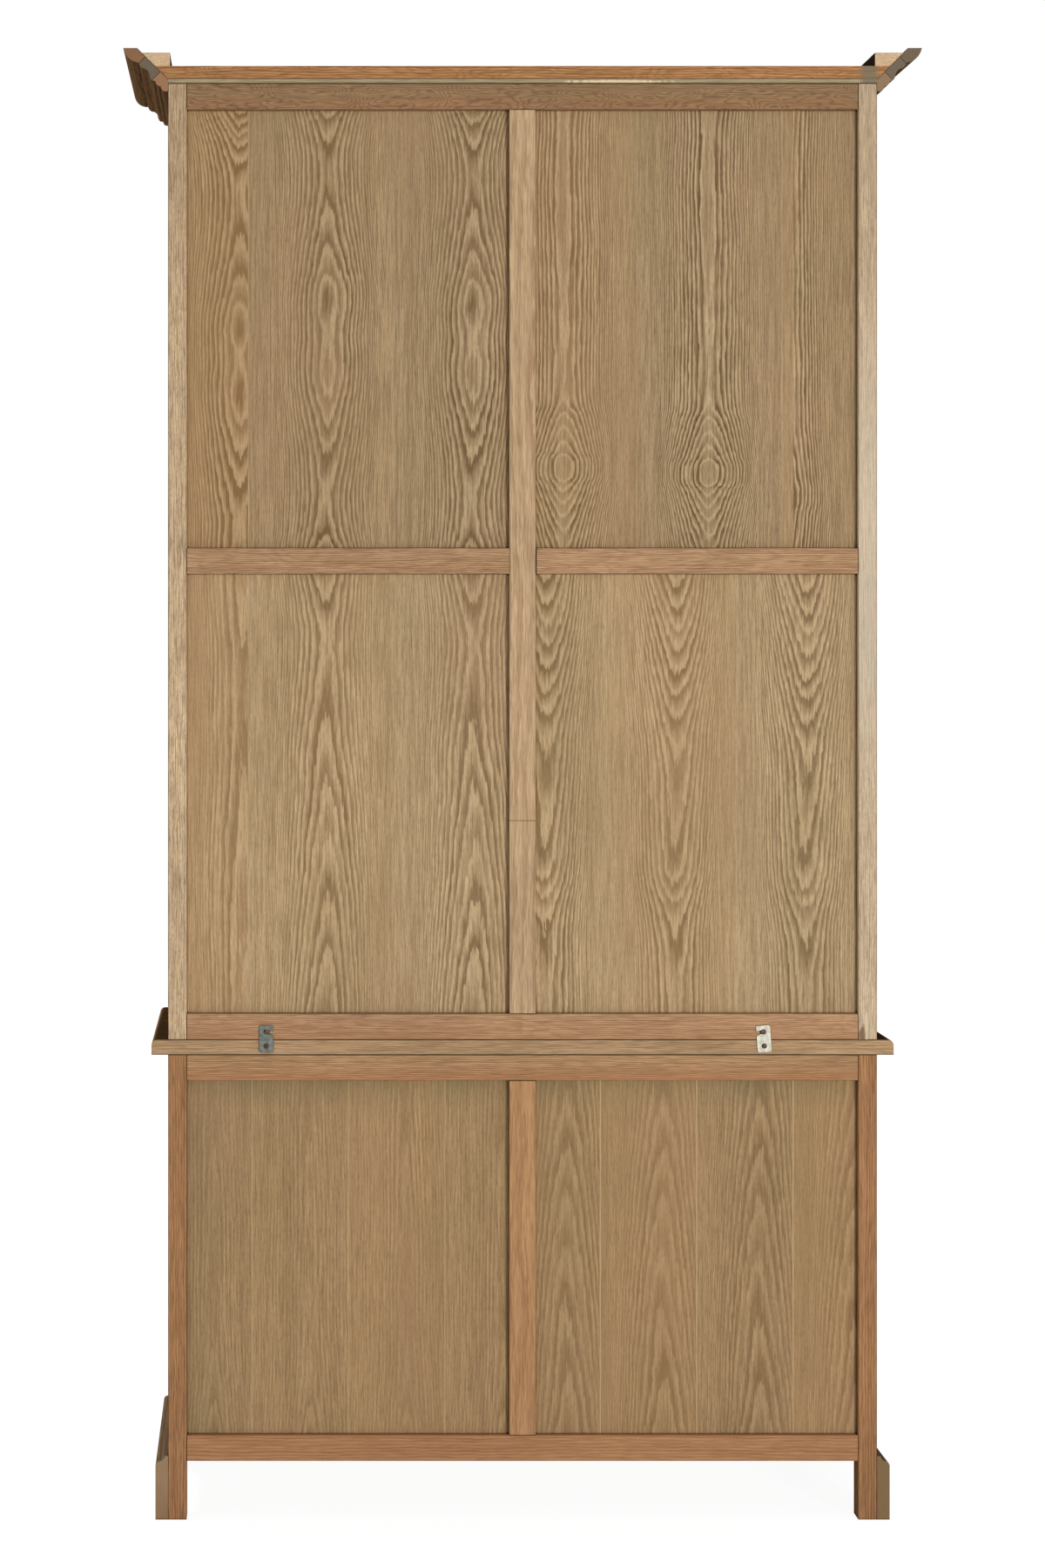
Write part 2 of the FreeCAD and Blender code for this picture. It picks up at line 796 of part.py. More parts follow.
# Upper case, piece by piece
nodes["upper_back_posts"] = both_sides(upper["back_post"])
nodes["upper_front_posts"] = both_sides(
    housed(upper["front_post"], upper_front_tenons + upper_post_leaves)
)
nodes["upper_back_rails"] = [housed(rail, screws) for rail in upper["rails"]]
nodes["upper_back_stile"] = [upper["stile"]]
nodes["upper_back_low_panels"] = both_sides(upper["panels"][0])
nodes["upper_back_high_panels"] = both_sides(upper["panels"][1])
nodes["upper_side_rails"] = [half for rail in upper["side_rails"] for half in both_sides(rail)]
nodes["upper_side_panels"] = [half for panel in upper["side_panels"] for half in both_sides(panel)]
nodes["upper_front_rails"] = [rail for rail, _ in upper_front]
nodes["upper_bottom_board"] = [block(
    -half_inside, half_inside, stock, upper_depth - stock,
    upper_bottom_rail_top - board_thickness, upper_bottom_rail_top,
)]
upper_shelf_front = upper_depth - door_thickness - shelf_setback
nodes["upper_fixed_shelf"] = [block(
    -half_inside, half_inside, stock, upper_shelf_front,
    upper_mid_rail_top - board_thickness, upper_mid_rail_top,
)]
shelf_half = half_inside - shelf_play
shelf_back = stock + shelf_play
base_shelf_front = base_depth - door_thickness - shelf_setback
nodes["loose_shelves"] = [
    block(-shelf_half, shelf_half, shelf_back, upper_shelf_front, z, z + board_thickness)
    for z in upper_shelf_levels
] + [block(
    -shelf_half, shelf_half, shelf_back, base_shelf_front,
    base_shelf_underside, base_shelf_underside + board_thickness,
)]
nodes["shelf_cleats"] = [cleat for z in upper_shelf_levels for cleat in cleats(z, upper_shelf_front)]
nodes["shelf_cleats"] += cleats(base_shelf_underside, base_shelf_front)

# Top and crown
nodes["top_panel"] = [block(-half_body, half_body, 0, upper_depth, upper_post_top, top_panel_top)]
nodes["crown_board"] = [crown_board()]
crown_return, crown_front_piece = moulding(
    crown_section, half_body, upper_depth, crown_overhang, crown_base, crown_top
)
nodes["crown_returns"] = both_sides(crown_return)
nodes["crown_front"] = [crown_front_piece]
strip_reach = crown_strip_inset + crown_board_thickness + crown_strip_height
side_strip, front_strip = moulding(
    strip_section, half_body - crown_strip_inset, upper_depth - crown_strip_inset,
    strip_reach, crown_board_top, crown_strip_top,
)
nodes["crown_strips"] = both_sides(side_strip) + [front_strip]

# Base, piece by piece
waist_half = half_body + waist_overhang
waist = block(-waist_half, waist_half, 0, base_depth + waist_overhang, base_height, waist_top)
waist_edges = [
    edge for edge in waist.Edges
    if edge.BoundBox.ZMin > waist_top - 0.01 and edge.CenterOfMass.y < back_y - 0.01
]
waist = waist.makeFillet(min(waist_round, waist_thickness * 0.8), waist_edges)
nodes["waist_board"] = [housed(waist, screws)]
nodes["base_back_posts"] = both_sides(base["back_post"])
nodes["base_front_posts"] = both_sides(
    housed(base["front_post"], base_front_tenons + base_post_leaves)
)
nodes["base_back_rails"] = base["rails"]
nodes["base_back_stile"] = [base["stile"]]
nodes["base_back_panels"] = both_sides(base["panels"][0])
nodes["base_side_rails"] = [half for rail in base["side_rails"] for half in both_sides(rail)]
nodes["base_side_panels"] = both_sides(base["side_panels"][0])
nodes["base_front_rails"] = [housed(rail, divider_tenons) for rail, _ in base_front]
nodes["drawer_divider"] = [joined(divider, *divider_tenons)]
nodes["base_bottom_board"] = [block(
    -half_inside, half_inside, stock, base_depth - stock,
    base_bottom_rail_top - board_thickness, base_bottom_rail_top,
)]

# Runners under the drawers, a guide between them and kickers above
run = (stock, base_depth - stock)
runner_levels = (drawer_rail_top - runner_height, drawer_rail_top)
kicker_levels = (base_top_rail_base, base_top_rail_base + runner_height)
outer_run = (half_inside - runner_width, half_inside)
centre_run = (-centre_runner_width / 2, centre_runner_width / 2)
nodes["drawer_runners"] = []
for levels in (runner_levels, kicker_levels):
    nodes["drawer_runners"] += both_sides(block(*outer_run, *run, *levels))
    nodes["drawer_runners"].append(block(*centre_run, *run, *levels))
guide_levels = (drawer_rail_top, drawer_rail_top + runner_height)
nodes["drawer_runners"].append(
    block(-centre_guide_width / 2, centre_guide_width / 2, *run, *guide_levels)
)

# Plinth with bracket feet
plinth_return, plinth_front_piece = moulding(
    plinth_section, half_body, base_depth, plinth_thickness, 0.0, plinth_height
)
side_cut = bracket_cut(
    bracket_foot_width, base_depth + plinth_thickness - bracket_foot_width,
    lambda p: place(half_body, p[0], p[1]), V(plinth_thickness, 0, 0),
)
front_foot = half_body + plinth_thickness - bracket_foot_width
front_cut = bracket_cut(
    -front_foot, front_foot,
    lambda p: place(p[0], base_depth, p[1]), V(0, -plinth_thickness, 0),
)
nodes["plinth_returns"] = both_sides(plinth_return.cut(side_cut))
nodes["plinth_front"] = [plinth_front_piece.cut(front_cut)]

# Small hardware on the cases
nodes["post_hinge_leaves"] = [
    half for leaf in upper_post_leaves + base_post_leaves for half in both_sides(leaf)
]
nodes["hinge_pins"] = [half for pin in upper_pins + base_pins for half in both_sides(pin)]
nodes["door_catches"] = []
for level, face in ((upper_top_rail_base, upper_depth), (drawer_rail_base, base_depth)):
    catch_front = face - door_thickness
    nodes["door_catches"] += both_sides(block(
        catch_offset, catch_offset + catch_width,
        catch_front - catch_depth, catch_front,
        level - catch_height, level,
    ))
nodes["hook_screws"] = screws

# Doors and drawers, each with its own pieces on both sides
for case, pair, leaves in (
    ("upper", upper_door, upper_door_leaves),
    ("base", base_door, base_door_leaves),
):
    frame, panels, pull = pair
    pieces = {"frame": frame, "panels": panels, "knob": [pull], "hinge_leaves": leaves}
    for part, solids in pieces.items():
        nodes[f"{case}_right_door_{part}"] = solids
        nodes[f"{case}_left_door_{part}"] = [mirrored(solid) for solid in solids]

drawer_front, drawer_box, drawer_knob = drawer(base_depth)
pieces = {"front": [drawer_front], "box": drawer_box, "knob": [drawer_knob]}
for part, solids in pieces.items():
    nodes[f"right_drawer_{part}"] = solids
    nodes[f"left_drawer_{part}"] = [mirrored(solid) for solid in solids]

os.makedirs("parts", exist_ok=True)
for name, solids in nodes.items():
    shape = solids[0] if len(solids) == 1 else Part.makeCompound(solids)
    shape.exportStep(f"parts/{name}.step")
print(len(nodes), "nodes,", sum(len(solids) for solids in nodes.values()), "solids")
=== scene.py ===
# %% [markdown]
# A tall oak cupboard in two parts, seen from behind.
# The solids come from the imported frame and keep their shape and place. This lesson gives
# them a camera, light and wood, and adds the small turned and screwed pieces.
# Everything is in metres: z goes up, the plain back faces +y and the doors face -y.

# %% Load the frame
import json
import math

import bmesh
import bpy
from mathutils import Matrix, Vector

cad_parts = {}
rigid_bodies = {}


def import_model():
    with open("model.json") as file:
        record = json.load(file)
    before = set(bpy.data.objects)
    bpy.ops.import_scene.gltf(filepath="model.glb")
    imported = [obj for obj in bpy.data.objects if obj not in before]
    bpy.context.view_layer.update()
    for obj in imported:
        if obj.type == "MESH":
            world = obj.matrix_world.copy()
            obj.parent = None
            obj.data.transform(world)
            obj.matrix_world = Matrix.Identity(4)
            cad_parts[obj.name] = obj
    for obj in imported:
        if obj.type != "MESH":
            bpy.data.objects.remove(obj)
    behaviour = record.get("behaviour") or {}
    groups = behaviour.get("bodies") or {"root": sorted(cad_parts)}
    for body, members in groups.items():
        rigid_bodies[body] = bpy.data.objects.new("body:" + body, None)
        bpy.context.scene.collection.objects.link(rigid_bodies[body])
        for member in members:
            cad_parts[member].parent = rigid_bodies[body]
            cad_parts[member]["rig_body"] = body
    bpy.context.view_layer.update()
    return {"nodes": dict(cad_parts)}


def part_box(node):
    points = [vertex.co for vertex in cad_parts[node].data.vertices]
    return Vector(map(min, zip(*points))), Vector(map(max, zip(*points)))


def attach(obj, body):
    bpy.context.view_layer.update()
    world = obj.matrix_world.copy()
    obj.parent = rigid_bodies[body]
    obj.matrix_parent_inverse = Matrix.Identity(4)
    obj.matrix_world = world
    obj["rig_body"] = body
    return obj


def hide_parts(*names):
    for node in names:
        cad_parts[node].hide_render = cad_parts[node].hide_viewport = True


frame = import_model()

nodes = frame["nodes"]

# %% [markdown]
# The photograph was taken square to the back, a little left of the middle. A camera that
# looks straight along -y with a long lens and a small shift keeps the posts upright.

# %% Camera
def placed(name, data):
    """Puts a new object into the scene."""
    thing = bpy.data.objects.new(name, data)
    bpy.context.scene.collection.objects.link(thing)
    return thing


eye = Vector((0.39, 5.279, 1.327))
back_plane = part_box("upper_back_posts")[1].y
lens = bpy.data.cameras.new("camera")
lens.sensor_width = 36.0
lens.lens = 77.3
lens.shift_x = 0.1656
lens.shift_y = -0.0944
camera = placed("camera", lens)
camera.location = eye
camera.rotation_euler = (math.radians(90), 0, math.radians(180))
bpy.context.scene.camera = camera
print("camera", round(eye.y - back_plane, 3), "m behind the back")

# %% [markdown]
# Colours are easiest to write as the values that a picture editor shows. The renderer
# counts light evenly, so this helper turns such values into its own scale.

# %% Colours
def tint(red, green, blue):
    """A colour from picture values between 0 and 255."""
    def even(value):
        value /= 255
        return value / 12.92 if value <= 0.04045 else ((value + 0.055) / 1.055) ** 2.4

    return (even(red), even(green), even(blue), 1.0)


print("mid oak is", [round(v, 3) for v in tint(160, 135, 100)])

# %% [markdown]
# A material is a chain of small steps. This bench keeps one material's steps together:
# each call adds a step, plugs values into it in order and hands back what comes out.

# %% A bench for materials
class Bench:
    """One material under construction."""

    def __init__(self, name):
        self.material = bpy.data.materials.new(name)
        self.material.use_nodes = True
        self.tree = self.material.node_tree
        self.surface = self.tree.nodes["Principled BSDF"]
        place = self.step("TexCoord", output="Object")
        self.x, self.y, self.z = self.step("SeparateXYZ", place, every=True)

    def new(self, kind, **settings):
        node = self.tree.nodes.new("ShaderNode" + kind)
        for name, value in settings.items():
            setattr(node, name, value)
        return node

    def step(self, kind, *plugs, output=0, every=False, **settings):
        node = self.new(kind, **settings)
        for socket, plug in zip(node.inputs, plugs):
            self.plug(socket, plug)
        return node.outputs if every else node.outputs[output]

    def plug(self, socket, value):
        if isinstance(value, bpy.types.NodeSocket):
            self.tree.links.new(value, socket)
        elif value is not None:
            socket.default_value = value

    def fill(self, node, values):
        """Plugs values into the sockets with these names."""
        for name, value in values.items():
            self.plug(node.inputs[name], value)

    def sum(self, operation, *values):
        return self.step("Math", *values, operation=operation)

    def add(self, total, *others):
        for other in others:
            total = self.sum("ADD", total, other)
        return total

    def minus(self, a, b):
        return self.sum("SUBTRACT", a, b)

    def times(self, product, *others):
        for other in others:
            product = self.sum("MULTIPLY", product, other)
        return product

    def above(self, value, limit):
        """1 where a value is above a limit, else 0."""
        return self.sum("GREATER_THAN", value, limit)

    def below(self, value, limit):
        return self.sum("LESS_THAN", value, limit)

    def centred(self, chance, swing):
        """Turns a 0-to-1 value into a swing to both sides of 0, this wide."""
        return self.times(self.add(chance, -0.5), swing)

    def length(self, a, b):
        """How long a step is that goes a one way and b square to it."""
        return self.sum("SQRT", self.add(self.times(a, a), self.times(b, b)))

    def from_middle(self):
        return self.sum("ABSOLUTE", self.x)

    def facing(self):
        """Which way the surface looks: its shares towards +x, +y and +z."""
        normal = self.step("NewGeometry", output="Normal")
        return self.step("SeparateXYZ", normal, every=True)

    def point(self, a, b, c):
        return self.step("CombineXYZ", a, b, c)

    def chance(self, number, output=0):
        """A value from 0 to 1 that jumps from one number to the next."""
        return self.step("TexWhiteNoise", None, number, output=output, noise_dimensions="1D")

    def stretched(self, along, across, deep, rates, detail=2.0, shift=0.0):
        """Noise whose patches are long along the grain; the rates are patches per metre."""
        scaled = [self.times(value, rate) for value, rate in zip((along, across, deep), rates)]
        if shift:
            scaled[2] = self.add(scaled[2], shift)
        return self.step("TexNoise", self.point(*scaled), None, 1.0, detail, 0.5)

    def patches(self, up, over, detail=3.0, shift=0.0):
        """The same on an upright face, for grain that runs up."""
        return self.stretched(self.z, self.x, 0.0, (up, over, 1.0), detail, shift)

    def grains(self, rate, detail):
        """Noise with patches that are as long as wide."""
        return self.stretched(self.x, self.y, self.z, (rate, rate, rate), detail)

    def ramp(self, value, stops):
        """Greys or colours along a value; each stop is a place and a grey or a colour."""
        node = self.new("ValToRGB")
        self.plug(node.inputs[0], value)
        bar = node.color_ramp.elements
        while len(bar) < len(stops):
            bar.new(0.5)
        for element, (place, shade) in zip(bar, stops):
            element.position = place
            element.color = shade if isinstance(shade, tuple) else (shade, shade, shade, 1.0)
        return node.outputs[0]

    def blend(self, sockets, share, under, over, output, **settings):
        node = self.new("Mix", **settings)
        for socket, value in zip(sockets, (share, under, over)):
            self.plug(node.inputs[socket], value)
        return node.outputs[output]

    def mix(self, share, under, over):
        """A colour between two. A tuple of shares stands for their product."""
        if isinstance(share, tuple):
            share = self.times(*share)
        return self.blend((0, 6, 7), share, under, over, 2, data_type="RGBA")

    def shaded(self, colour, shade):
        """A colour made darker by another."""
        return self.blend((0, 6, 7), 1.0, colour, shade, 2, data_type="RGBA", blend_type="MULTIPLY")

    def choose(self, share, under, over):
        """A number between two numbers."""
        return self.blend((0, 2, 3), share, under, over, 0)

    def lines(self, value, places, half):
        """1 within a half width of any of these places along a value, else 0."""
        total = 0.0
        for place in places:
            total = self.sum("MAXIMUM", total, self.sum("COMPARE", value, place, half))
        return total

    def open_air(self, reach):
        """1 where nothing is near, falling towards 0 in corners and joints."""
        return self.step("AmbientOcclusion", None, reach, output="AO", samples=8)

    def finish(self, colour, roughness, height=None, depth=0.0003, gloss=0.5, metal=0.0, edge=0.0):
        """Plugs the results into the surface. Depth and edge are in metres."""
        self.fill(self.surface, {"Base Color": colour, "Roughness": roughness,
                                 "Metallic": metal, "Specular IOR Level": gloss})
        if height is not None:
            bump = self.new("Bump")
            soft = self.step("Bevel", edge, samples=4) if edge else None
            self.fill(bump, {"Strength": 0.6, "Distance": depth, "Height": height, "Normal": soft})
            self.plug(self.surface.inputs["Normal"], bump.outputs[0])
        return self.material


def dress(names, material):
    """Gives a material to solids of the frame."""
    for name in names:
        for slot in nodes[name].material_slots:
            slot.material = material


print("bench ready")

# %% [markdown]
# Plain-sliced oak shows tall arches because a flat slice passes through the tree's growth
# rings, which are nested tubes. A point's ring follows from its distance to the tube's
# middle, sideways and in depth. Where the depth changes along the board the rings close
# into arches and eyes, and at the sides they run straight.

# %% Growth rings into colour
def ring_bands(bench, rings, along, across, deep, wave=0.8):
    """How dark the early wood is, from 0 to 1, and the place within the ring."""
    drift = bench.stretched(along, across, deep, (1.6, 10.0, 10.0))
    kinks = bench.stretched(along, across, deep, (9.0, 34.0, 34.0), shift=8.0)
    teeth = bench.stretched(along, across, deep, (30.0, 240.0, 240.0), shift=4.0)
    for noise, swing_in_rings in ((drift, 2.6 * wave), (kinks, 1.1 * wave), (teeth, 0.8)):
        rings = bench.add(rings, bench.centred(noise, swing_in_rings))
    place = bench.sum("FRACT", rings)
    band = bench.ramp(place, [
        (0.0, 0.0), (0.06, 0.95), (0.26, 1.0), (0.44, 0.42), (0.66, 0.06), (0.98, 0.0),
    ])
    ring_tone = bench.add(bench.times(bench.chance(bench.sum("FLOOR", rings)), 0.6), 0.5)
    return bench.times(band, ring_tone), place


def pores(bench, along, across, deep):
    """Short dark dashes along the grain, from 0 to 1."""
    dash = bench.stretched(along, across, deep, (34.0, 640.0, 640.0), 3.0, 9.0)
    return bench.ramp(dash, [(0.46, 0.0), (0.64, 1.0)])


def painted_corner_shade(bench, colour):
    """Painted shade: darkens joints and corners, the more the nearer other surfaces come."""
    shade = bench.ramp(bench.open_air(0.004), [(0.3, 0.1), (0.62, 0.55), (0.8, 1.0)])
    return bench.shaded(colour, shade)


def deeper(colour, share):
    """A darker version of a colour."""
    return tuple(value * share for value in colour[:3]) + (1.0,)


# The third recipe paints shade into joints and corners.
print("ring, pore and grime recipes ready")

# %% [markdown]
# The six back panels are thin board faced with oak veneer. Each face is made of leaves cut
# one after the other from one log and laid side by side, so the same figure comes back
# every 150 to 220 mm. The tree's taper adds rings along the height, and each panel has its
# own list of heights and ring counts for that. Where the count rises the arches point up,
# where it falls they point down, and at a lowest place the rings close into an eye.

# %% Taper of the tree
most_rings = 18.0


def taper(bench, share, counts):
    """The rings that the height adds, as a smooth curve through a list."""
    node = bench.new("FloatCurve")
    curve = node.mapping.curves[0]
    while len(curve.points) < len(counts):
        curve.points.new(0.5, 0.5)
    for point, (height, count) in zip(curve.points, sorted(counts)):
        point.location = (height, count / most_rings)
    node.mapping.update()
    bench.plug(node.inputs["Value"], share)
    return bench.times(node.outputs[0], most_rings)


print("taper takes lists of up to", most_rings, "rings")

# %% [markdown]
# At one side of a panel a narrow strip from another log fills what the whole leaves leave
# over. It has a heart and a slope of its own. Over the rings come the slower changes of
# real veneer: worn places, clouds, combed streaks and pale wood between the dark lines.

# %% Veneer of the back
strip_number = 9.0
leaf_slip, strip_slip = 0.011, 0.06
heart_sway = 0.022
joint_width = 0.0016
per_decimetre = 10.0
cloud_tone, blush_tone = tint(140, 121, 84), tint(168, 132, 102)
honey_tone = tint(190, 148, 100)
pale_ring, pale_joint = tint(214, 188, 148), tint(206, 180, 138)


def veneer(name, node, leaves, light, dark, contrast=1.0, touch=None, joint_share=0.22,
           strip_boldness=0.75, strip_warmth=0.14):
    """Veneer for a pair of panels, given as the one at +x and the one at -x."""
    bench = Bench(name)
    low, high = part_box(node)
    height = high.z - low.z
    share = bench.times(bench.add(bench.z, -low.z), 1 / height)
    side = bench.below(bench.x, 0.0)
    over = bench.times(bench.x, -1.0)

    def pick(key):
        return bench.choose(side, leaves[0][key], leaves[1][key])

    # which leaf a point is in, and how far from that leaf's heart
    width = pick("width")
    place = bench.sum("DIVIDE", bench.minus(over, pick("joint")), width)
    number = bench.sum("FLOOR", place)
    within = bench.minus(place, number)
    aside = bench.times(bench.minus(within, pick("centre")), width)
    in_strip = bench.sum("COMPARE", over, pick("strip_middle"), pick("strip_half"))
    aside = bench.choose(in_strip, aside, bench.minus(over, pick("strip_heart")))
    number = bench.choose(in_strip, number, strip_number)
    sway = bench.stretched(bench.z, 0.0, bench.add(side, in_strip), (2.4, 1.0, 7.0))
    aside = bench.add(aside, bench.centred(sway, heart_sway))

    # rings from the distance to the heart and from the height
    slip = bench.times(number, leaf_slip)
    moved = bench.add(share, bench.choose(in_strip, slip, strip_slip))
    added = bench.choose(side, *(taper(bench, moved, one["rings"]) for one in leaves))
    added = bench.times(added, bench.choose(in_strip, 1.0, pick("strip_rise")))
    reach = bench.length(aside, pick("blunt"))
    near = bench.times(reach, pick("density"))
    far = bench.times(reach, reach, reach, pick("crowding"))
    rings = bench.add(near, far, added)
    along = bench.add(bench.z, bench.times(slip, -height))
    layer = bench.add(side, bench.times(in_strip, 3.0))
    grain, ring_place = ring_bands(bench, rings, along, aside, layer)

    # bolder near the heart, weaker at the flanks and in worn places
    flank = bench.ramp(bench.times(reach, per_decimetre), [(0.3, 1.0), (0.75, 0.6)])
    worn = bench.ramp(bench.patches(5.0, 14.0, 2.0, 30.0), [(0.36, 0.84), (0.58, 1.0)])
    boldness = bench.choose(in_strip, pick("bold"), strip_boldness)
    middle = bench.ramp(bench.times(reach, per_decimetre), [(0.095, 0.15), (0.15, 1.0)])
    middle = bench.choose(pick("clear"), 1.0, middle)
    grain = bench.times(grain, flank, worn, boldness, middle)

    # colour, from the broad tones to the finest flecks
    fine = pores(bench, bench.z, bench.x, 0.0)
    streak = bench.ramp(bench.patches(1.4, 75.0, 3.0, 2.0), [(0.42, 0.0), (0.72, 1.0)])
    comb = bench.ramp(bench.patches(11.0, 300.0, 3.0, 6.0), [(0.47, 0.0), (0.56, 1.0)])
    wood = bench.mix((grain, contrast), light, dark)
    wood = bench.mix((streak, 0.3), wood, dark)
    wood = bench.mix((comb, 0.36), wood, dark)
    wood = bench.mix((fine, 0.3), wood, deeper(dark, 0.6))
    cloud = bench.ramp(bench.patches(2.6, 6.0), [(0.42, 0.0), (0.7, 0.34)])
    wood = bench.mix(cloud, wood, cloud_tone)
    blush = bench.ramp(bench.patches(2.2, 7.0, 3.0, 12.0), [(0.46, 0.0), (0.72, 0.36)])
    wood = bench.mix(blush, wood, blush_tone)
    if touch:
        wood = touch(bench, wood)
    pale = bench.ramp(ring_place, [(0.6, 0.0), (0.78, 1.0), (0.98, 0.3)])
    pale = bench.times(pale, pick("bold"), flank, 0.36 * contrast ** 3)
    wood = bench.mix(pale, wood, pale_ring)
    flecks = bench.patches(110.0, 420.0, 2.0, 40.0)
    wood = bench.shaded(wood, bench.ramp(flecks, [(0.34, 0.86), (0.52, 1.0), (0.7, 1.0)]))

    # the pale joints between leaves, and each leaf's own warmth
    joint = bench.below(bench.times(within, width), joint_width)
    wood = bench.mix((joint, pick("bold"), joint_share), wood, pale_joint)
    leaf_tone = bench.chance(bench.add(number, bench.times(side, 17.0)))
    honey = bench.times(bench.choose(side, in_strip, 0.0), strip_warmth)
    wood = bench.mix(bench.add(bench.times(leaf_tone, 0.16), honey), wood, honey_tone)
    dull = bench.choose(grain, 0.56, 0.7)
    relief = bench.minus(1.0, bench.add(bench.times(grain, 0.5), bench.times(fine, 0.5)))
    # The colour gets painted shade in its joints and corners before it goes on the surface.
    return bench.finish(painted_corner_shade(bench, wood), dull, relief, 0.0002, 0.0)


def leaf(width, joint, centre, rings, strip=(9.0, 0.01, 0.0), **more):
    """How one panel's leaves are laid: sizes in metres, places measured towards -x.

    Joint is where a leaf starts and centre the share of its width at which its heart lies.
    The strip is its middle, half width and heart. Blunt is how far the cut misses the
    heart; density and crowding make rings near the heart and away from it."""
    usual = {"blunt": 0.012, "density": 90.0, "crowding": 8000.0,
             "bold": 1.0, "clear": 0.0, "strip_rise": 1.0}
    strip = dict(zip(("strip_middle", "strip_half", "strip_heart"), strip))
    return {"width": width, "joint": joint, "centre": centre, "rings": rings,
            **usual, **strip, **more}


print("veneer recipe ready")

# %% [markdown]
# Each list follows the photograph: where the arches turn, how many lines lie between two
# turns, and where the leaves meet.

# %% Panels of the upper case
dress(["upper_back_high_panels"], veneer("veneer_upper_high", "upper_back_high_panels", [
    leaf(0.219, -0.4126, 0.545, [
        (0.0, 4.2), (0.118, 5.9), (0.19, 5.4), (0.3, 3.8), (0.42, 2.3), (0.49, 2.6), (0.57, 2.2),
        (0.646, 3.3), (0.757, 4.8), (0.87, 5.5), (0.94, 4.6), (1.0, 2.8)],
        strip=(-0.4626, 0.05, -0.4244), density=88.0, crowding=14000.0, bold=0.92),
    leaf(0.2184, -0.046, 0.5, [
        (0.0, 6.0), (0.06, 4.4), (0.1, 3.2), (0.15, 1.4), (0.19, 0.0), (0.23, 1.2),
        (0.27, 2.4), (0.31, 3.6), (0.335, 4.45), (0.37, 4.7), (0.535, 4.7), (0.72, 4.5),
        (0.9, 4.8), (0.94, 4.95), (1.0, 4.6)],
        strip=(0.4587, 0.05, 0.393), blunt=0.008, density=115.0, crowding=16000.0, bold=1.12,
        clear=1.0, strip_rise=0.35),
], tint(190, 162, 125), tint(106, 83, 54), strip_boldness=1.3, strip_warmth=0.22))
dress(["upper_back_low_panels"], veneer("veneer_upper_low", "upper_back_low_panels", [
    leaf(0.2215, -0.4126, 0.53, [
        (0.0, 0.0), (0.12, 0.6), (0.5, 3.6), (0.8, 5.7), (0.85, 5.8), (0.92, 5.2), (1.0, 4.2)],
        strip=(-0.4626, 0.05, -0.418), density=78.0, crowding=14000.0, bold=0.85,
        strip_rise=0.2),
    leaf(0.1962, 0.1265, 0.533, [
        (0.0, 12.4), (0.18, 11.9), (0.225, 11.3), (0.33, 9.2), (0.37, 8.9), (0.5, 8.3),
        (0.62, 7.5), (0.7, 6.3), (0.8, 4.3), (0.9, 2.2), (1.0, 0.2)],
        blunt=0.013, density=80.0, crowding=19000.0, bold=0.9),
], tint(206, 178, 138), tint(124, 98, 66)))
print("veneer on 4 panels of the upper case")

# %% [markdown]
# The base's panels have quieter figure, and damp has left grey marks along their top and
# down one side.

# %% Panels of the base
def damp_stains(bench, wood):
    """Greenish grey marks along the top and one side."""
    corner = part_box("base_back_panels")[1]
    patchy = bench.patches(9.0, 16.0, 3.0, 20.0)
    below_top = bench.times(bench.minus(corner.z, bench.z), per_decimetre)
    from_side = bench.times(bench.minus(corner.x, bench.x), per_decimetre)
    top = bench.ramp(below_top, [(0.08, 1.0), (0.55, 0.0)])
    side = bench.ramp(from_side, [(0.15, 1.0), (0.75, 0.0)])
    near = bench.times(bench.sum("MAXIMUM", top, bench.times(side, 0.45)), patchy)
    return bench.mix(near, wood, tint(116, 110, 78))


dress(["base_back_panels"], veneer("veneer_base", "base_back_panels", [
    leaf(0.1452, -0.262, 0.6, [
        (0.0, 0.0), (0.2, 1.6), (0.5, 2.0), (1.0, 3.0)], density=190.0, crowding=3000.0, bold=0.6),
    leaf(0.1452, 0.1171, 0.662, [
        (0.0, 0.0), (0.3, 1.8), (0.6, 3.9), (1.0, 6.4)], density=70.0, crowding=16000.0),
], tint(183, 151, 111), tint(130, 102, 70), 0.75, damp_stains, joint_share=0.6))
print("veneer on 2 panels of the base")

# %% [markdown]
# Posts, rails and boards are solid oak. A solid piece shows the same rings on its face,
# edge and end, so the distance from the tree's heart is worked out from both directions
# across the grain. Every member has a number and with it a heart of its own, or the rails
# would look cut from one endless board.

# %% Solid oak
heart_aside, heart_aside_range = 0.015, 0.11
heart_depth, heart_depth_range = 0.03, 0.09
board_bend = 0.03


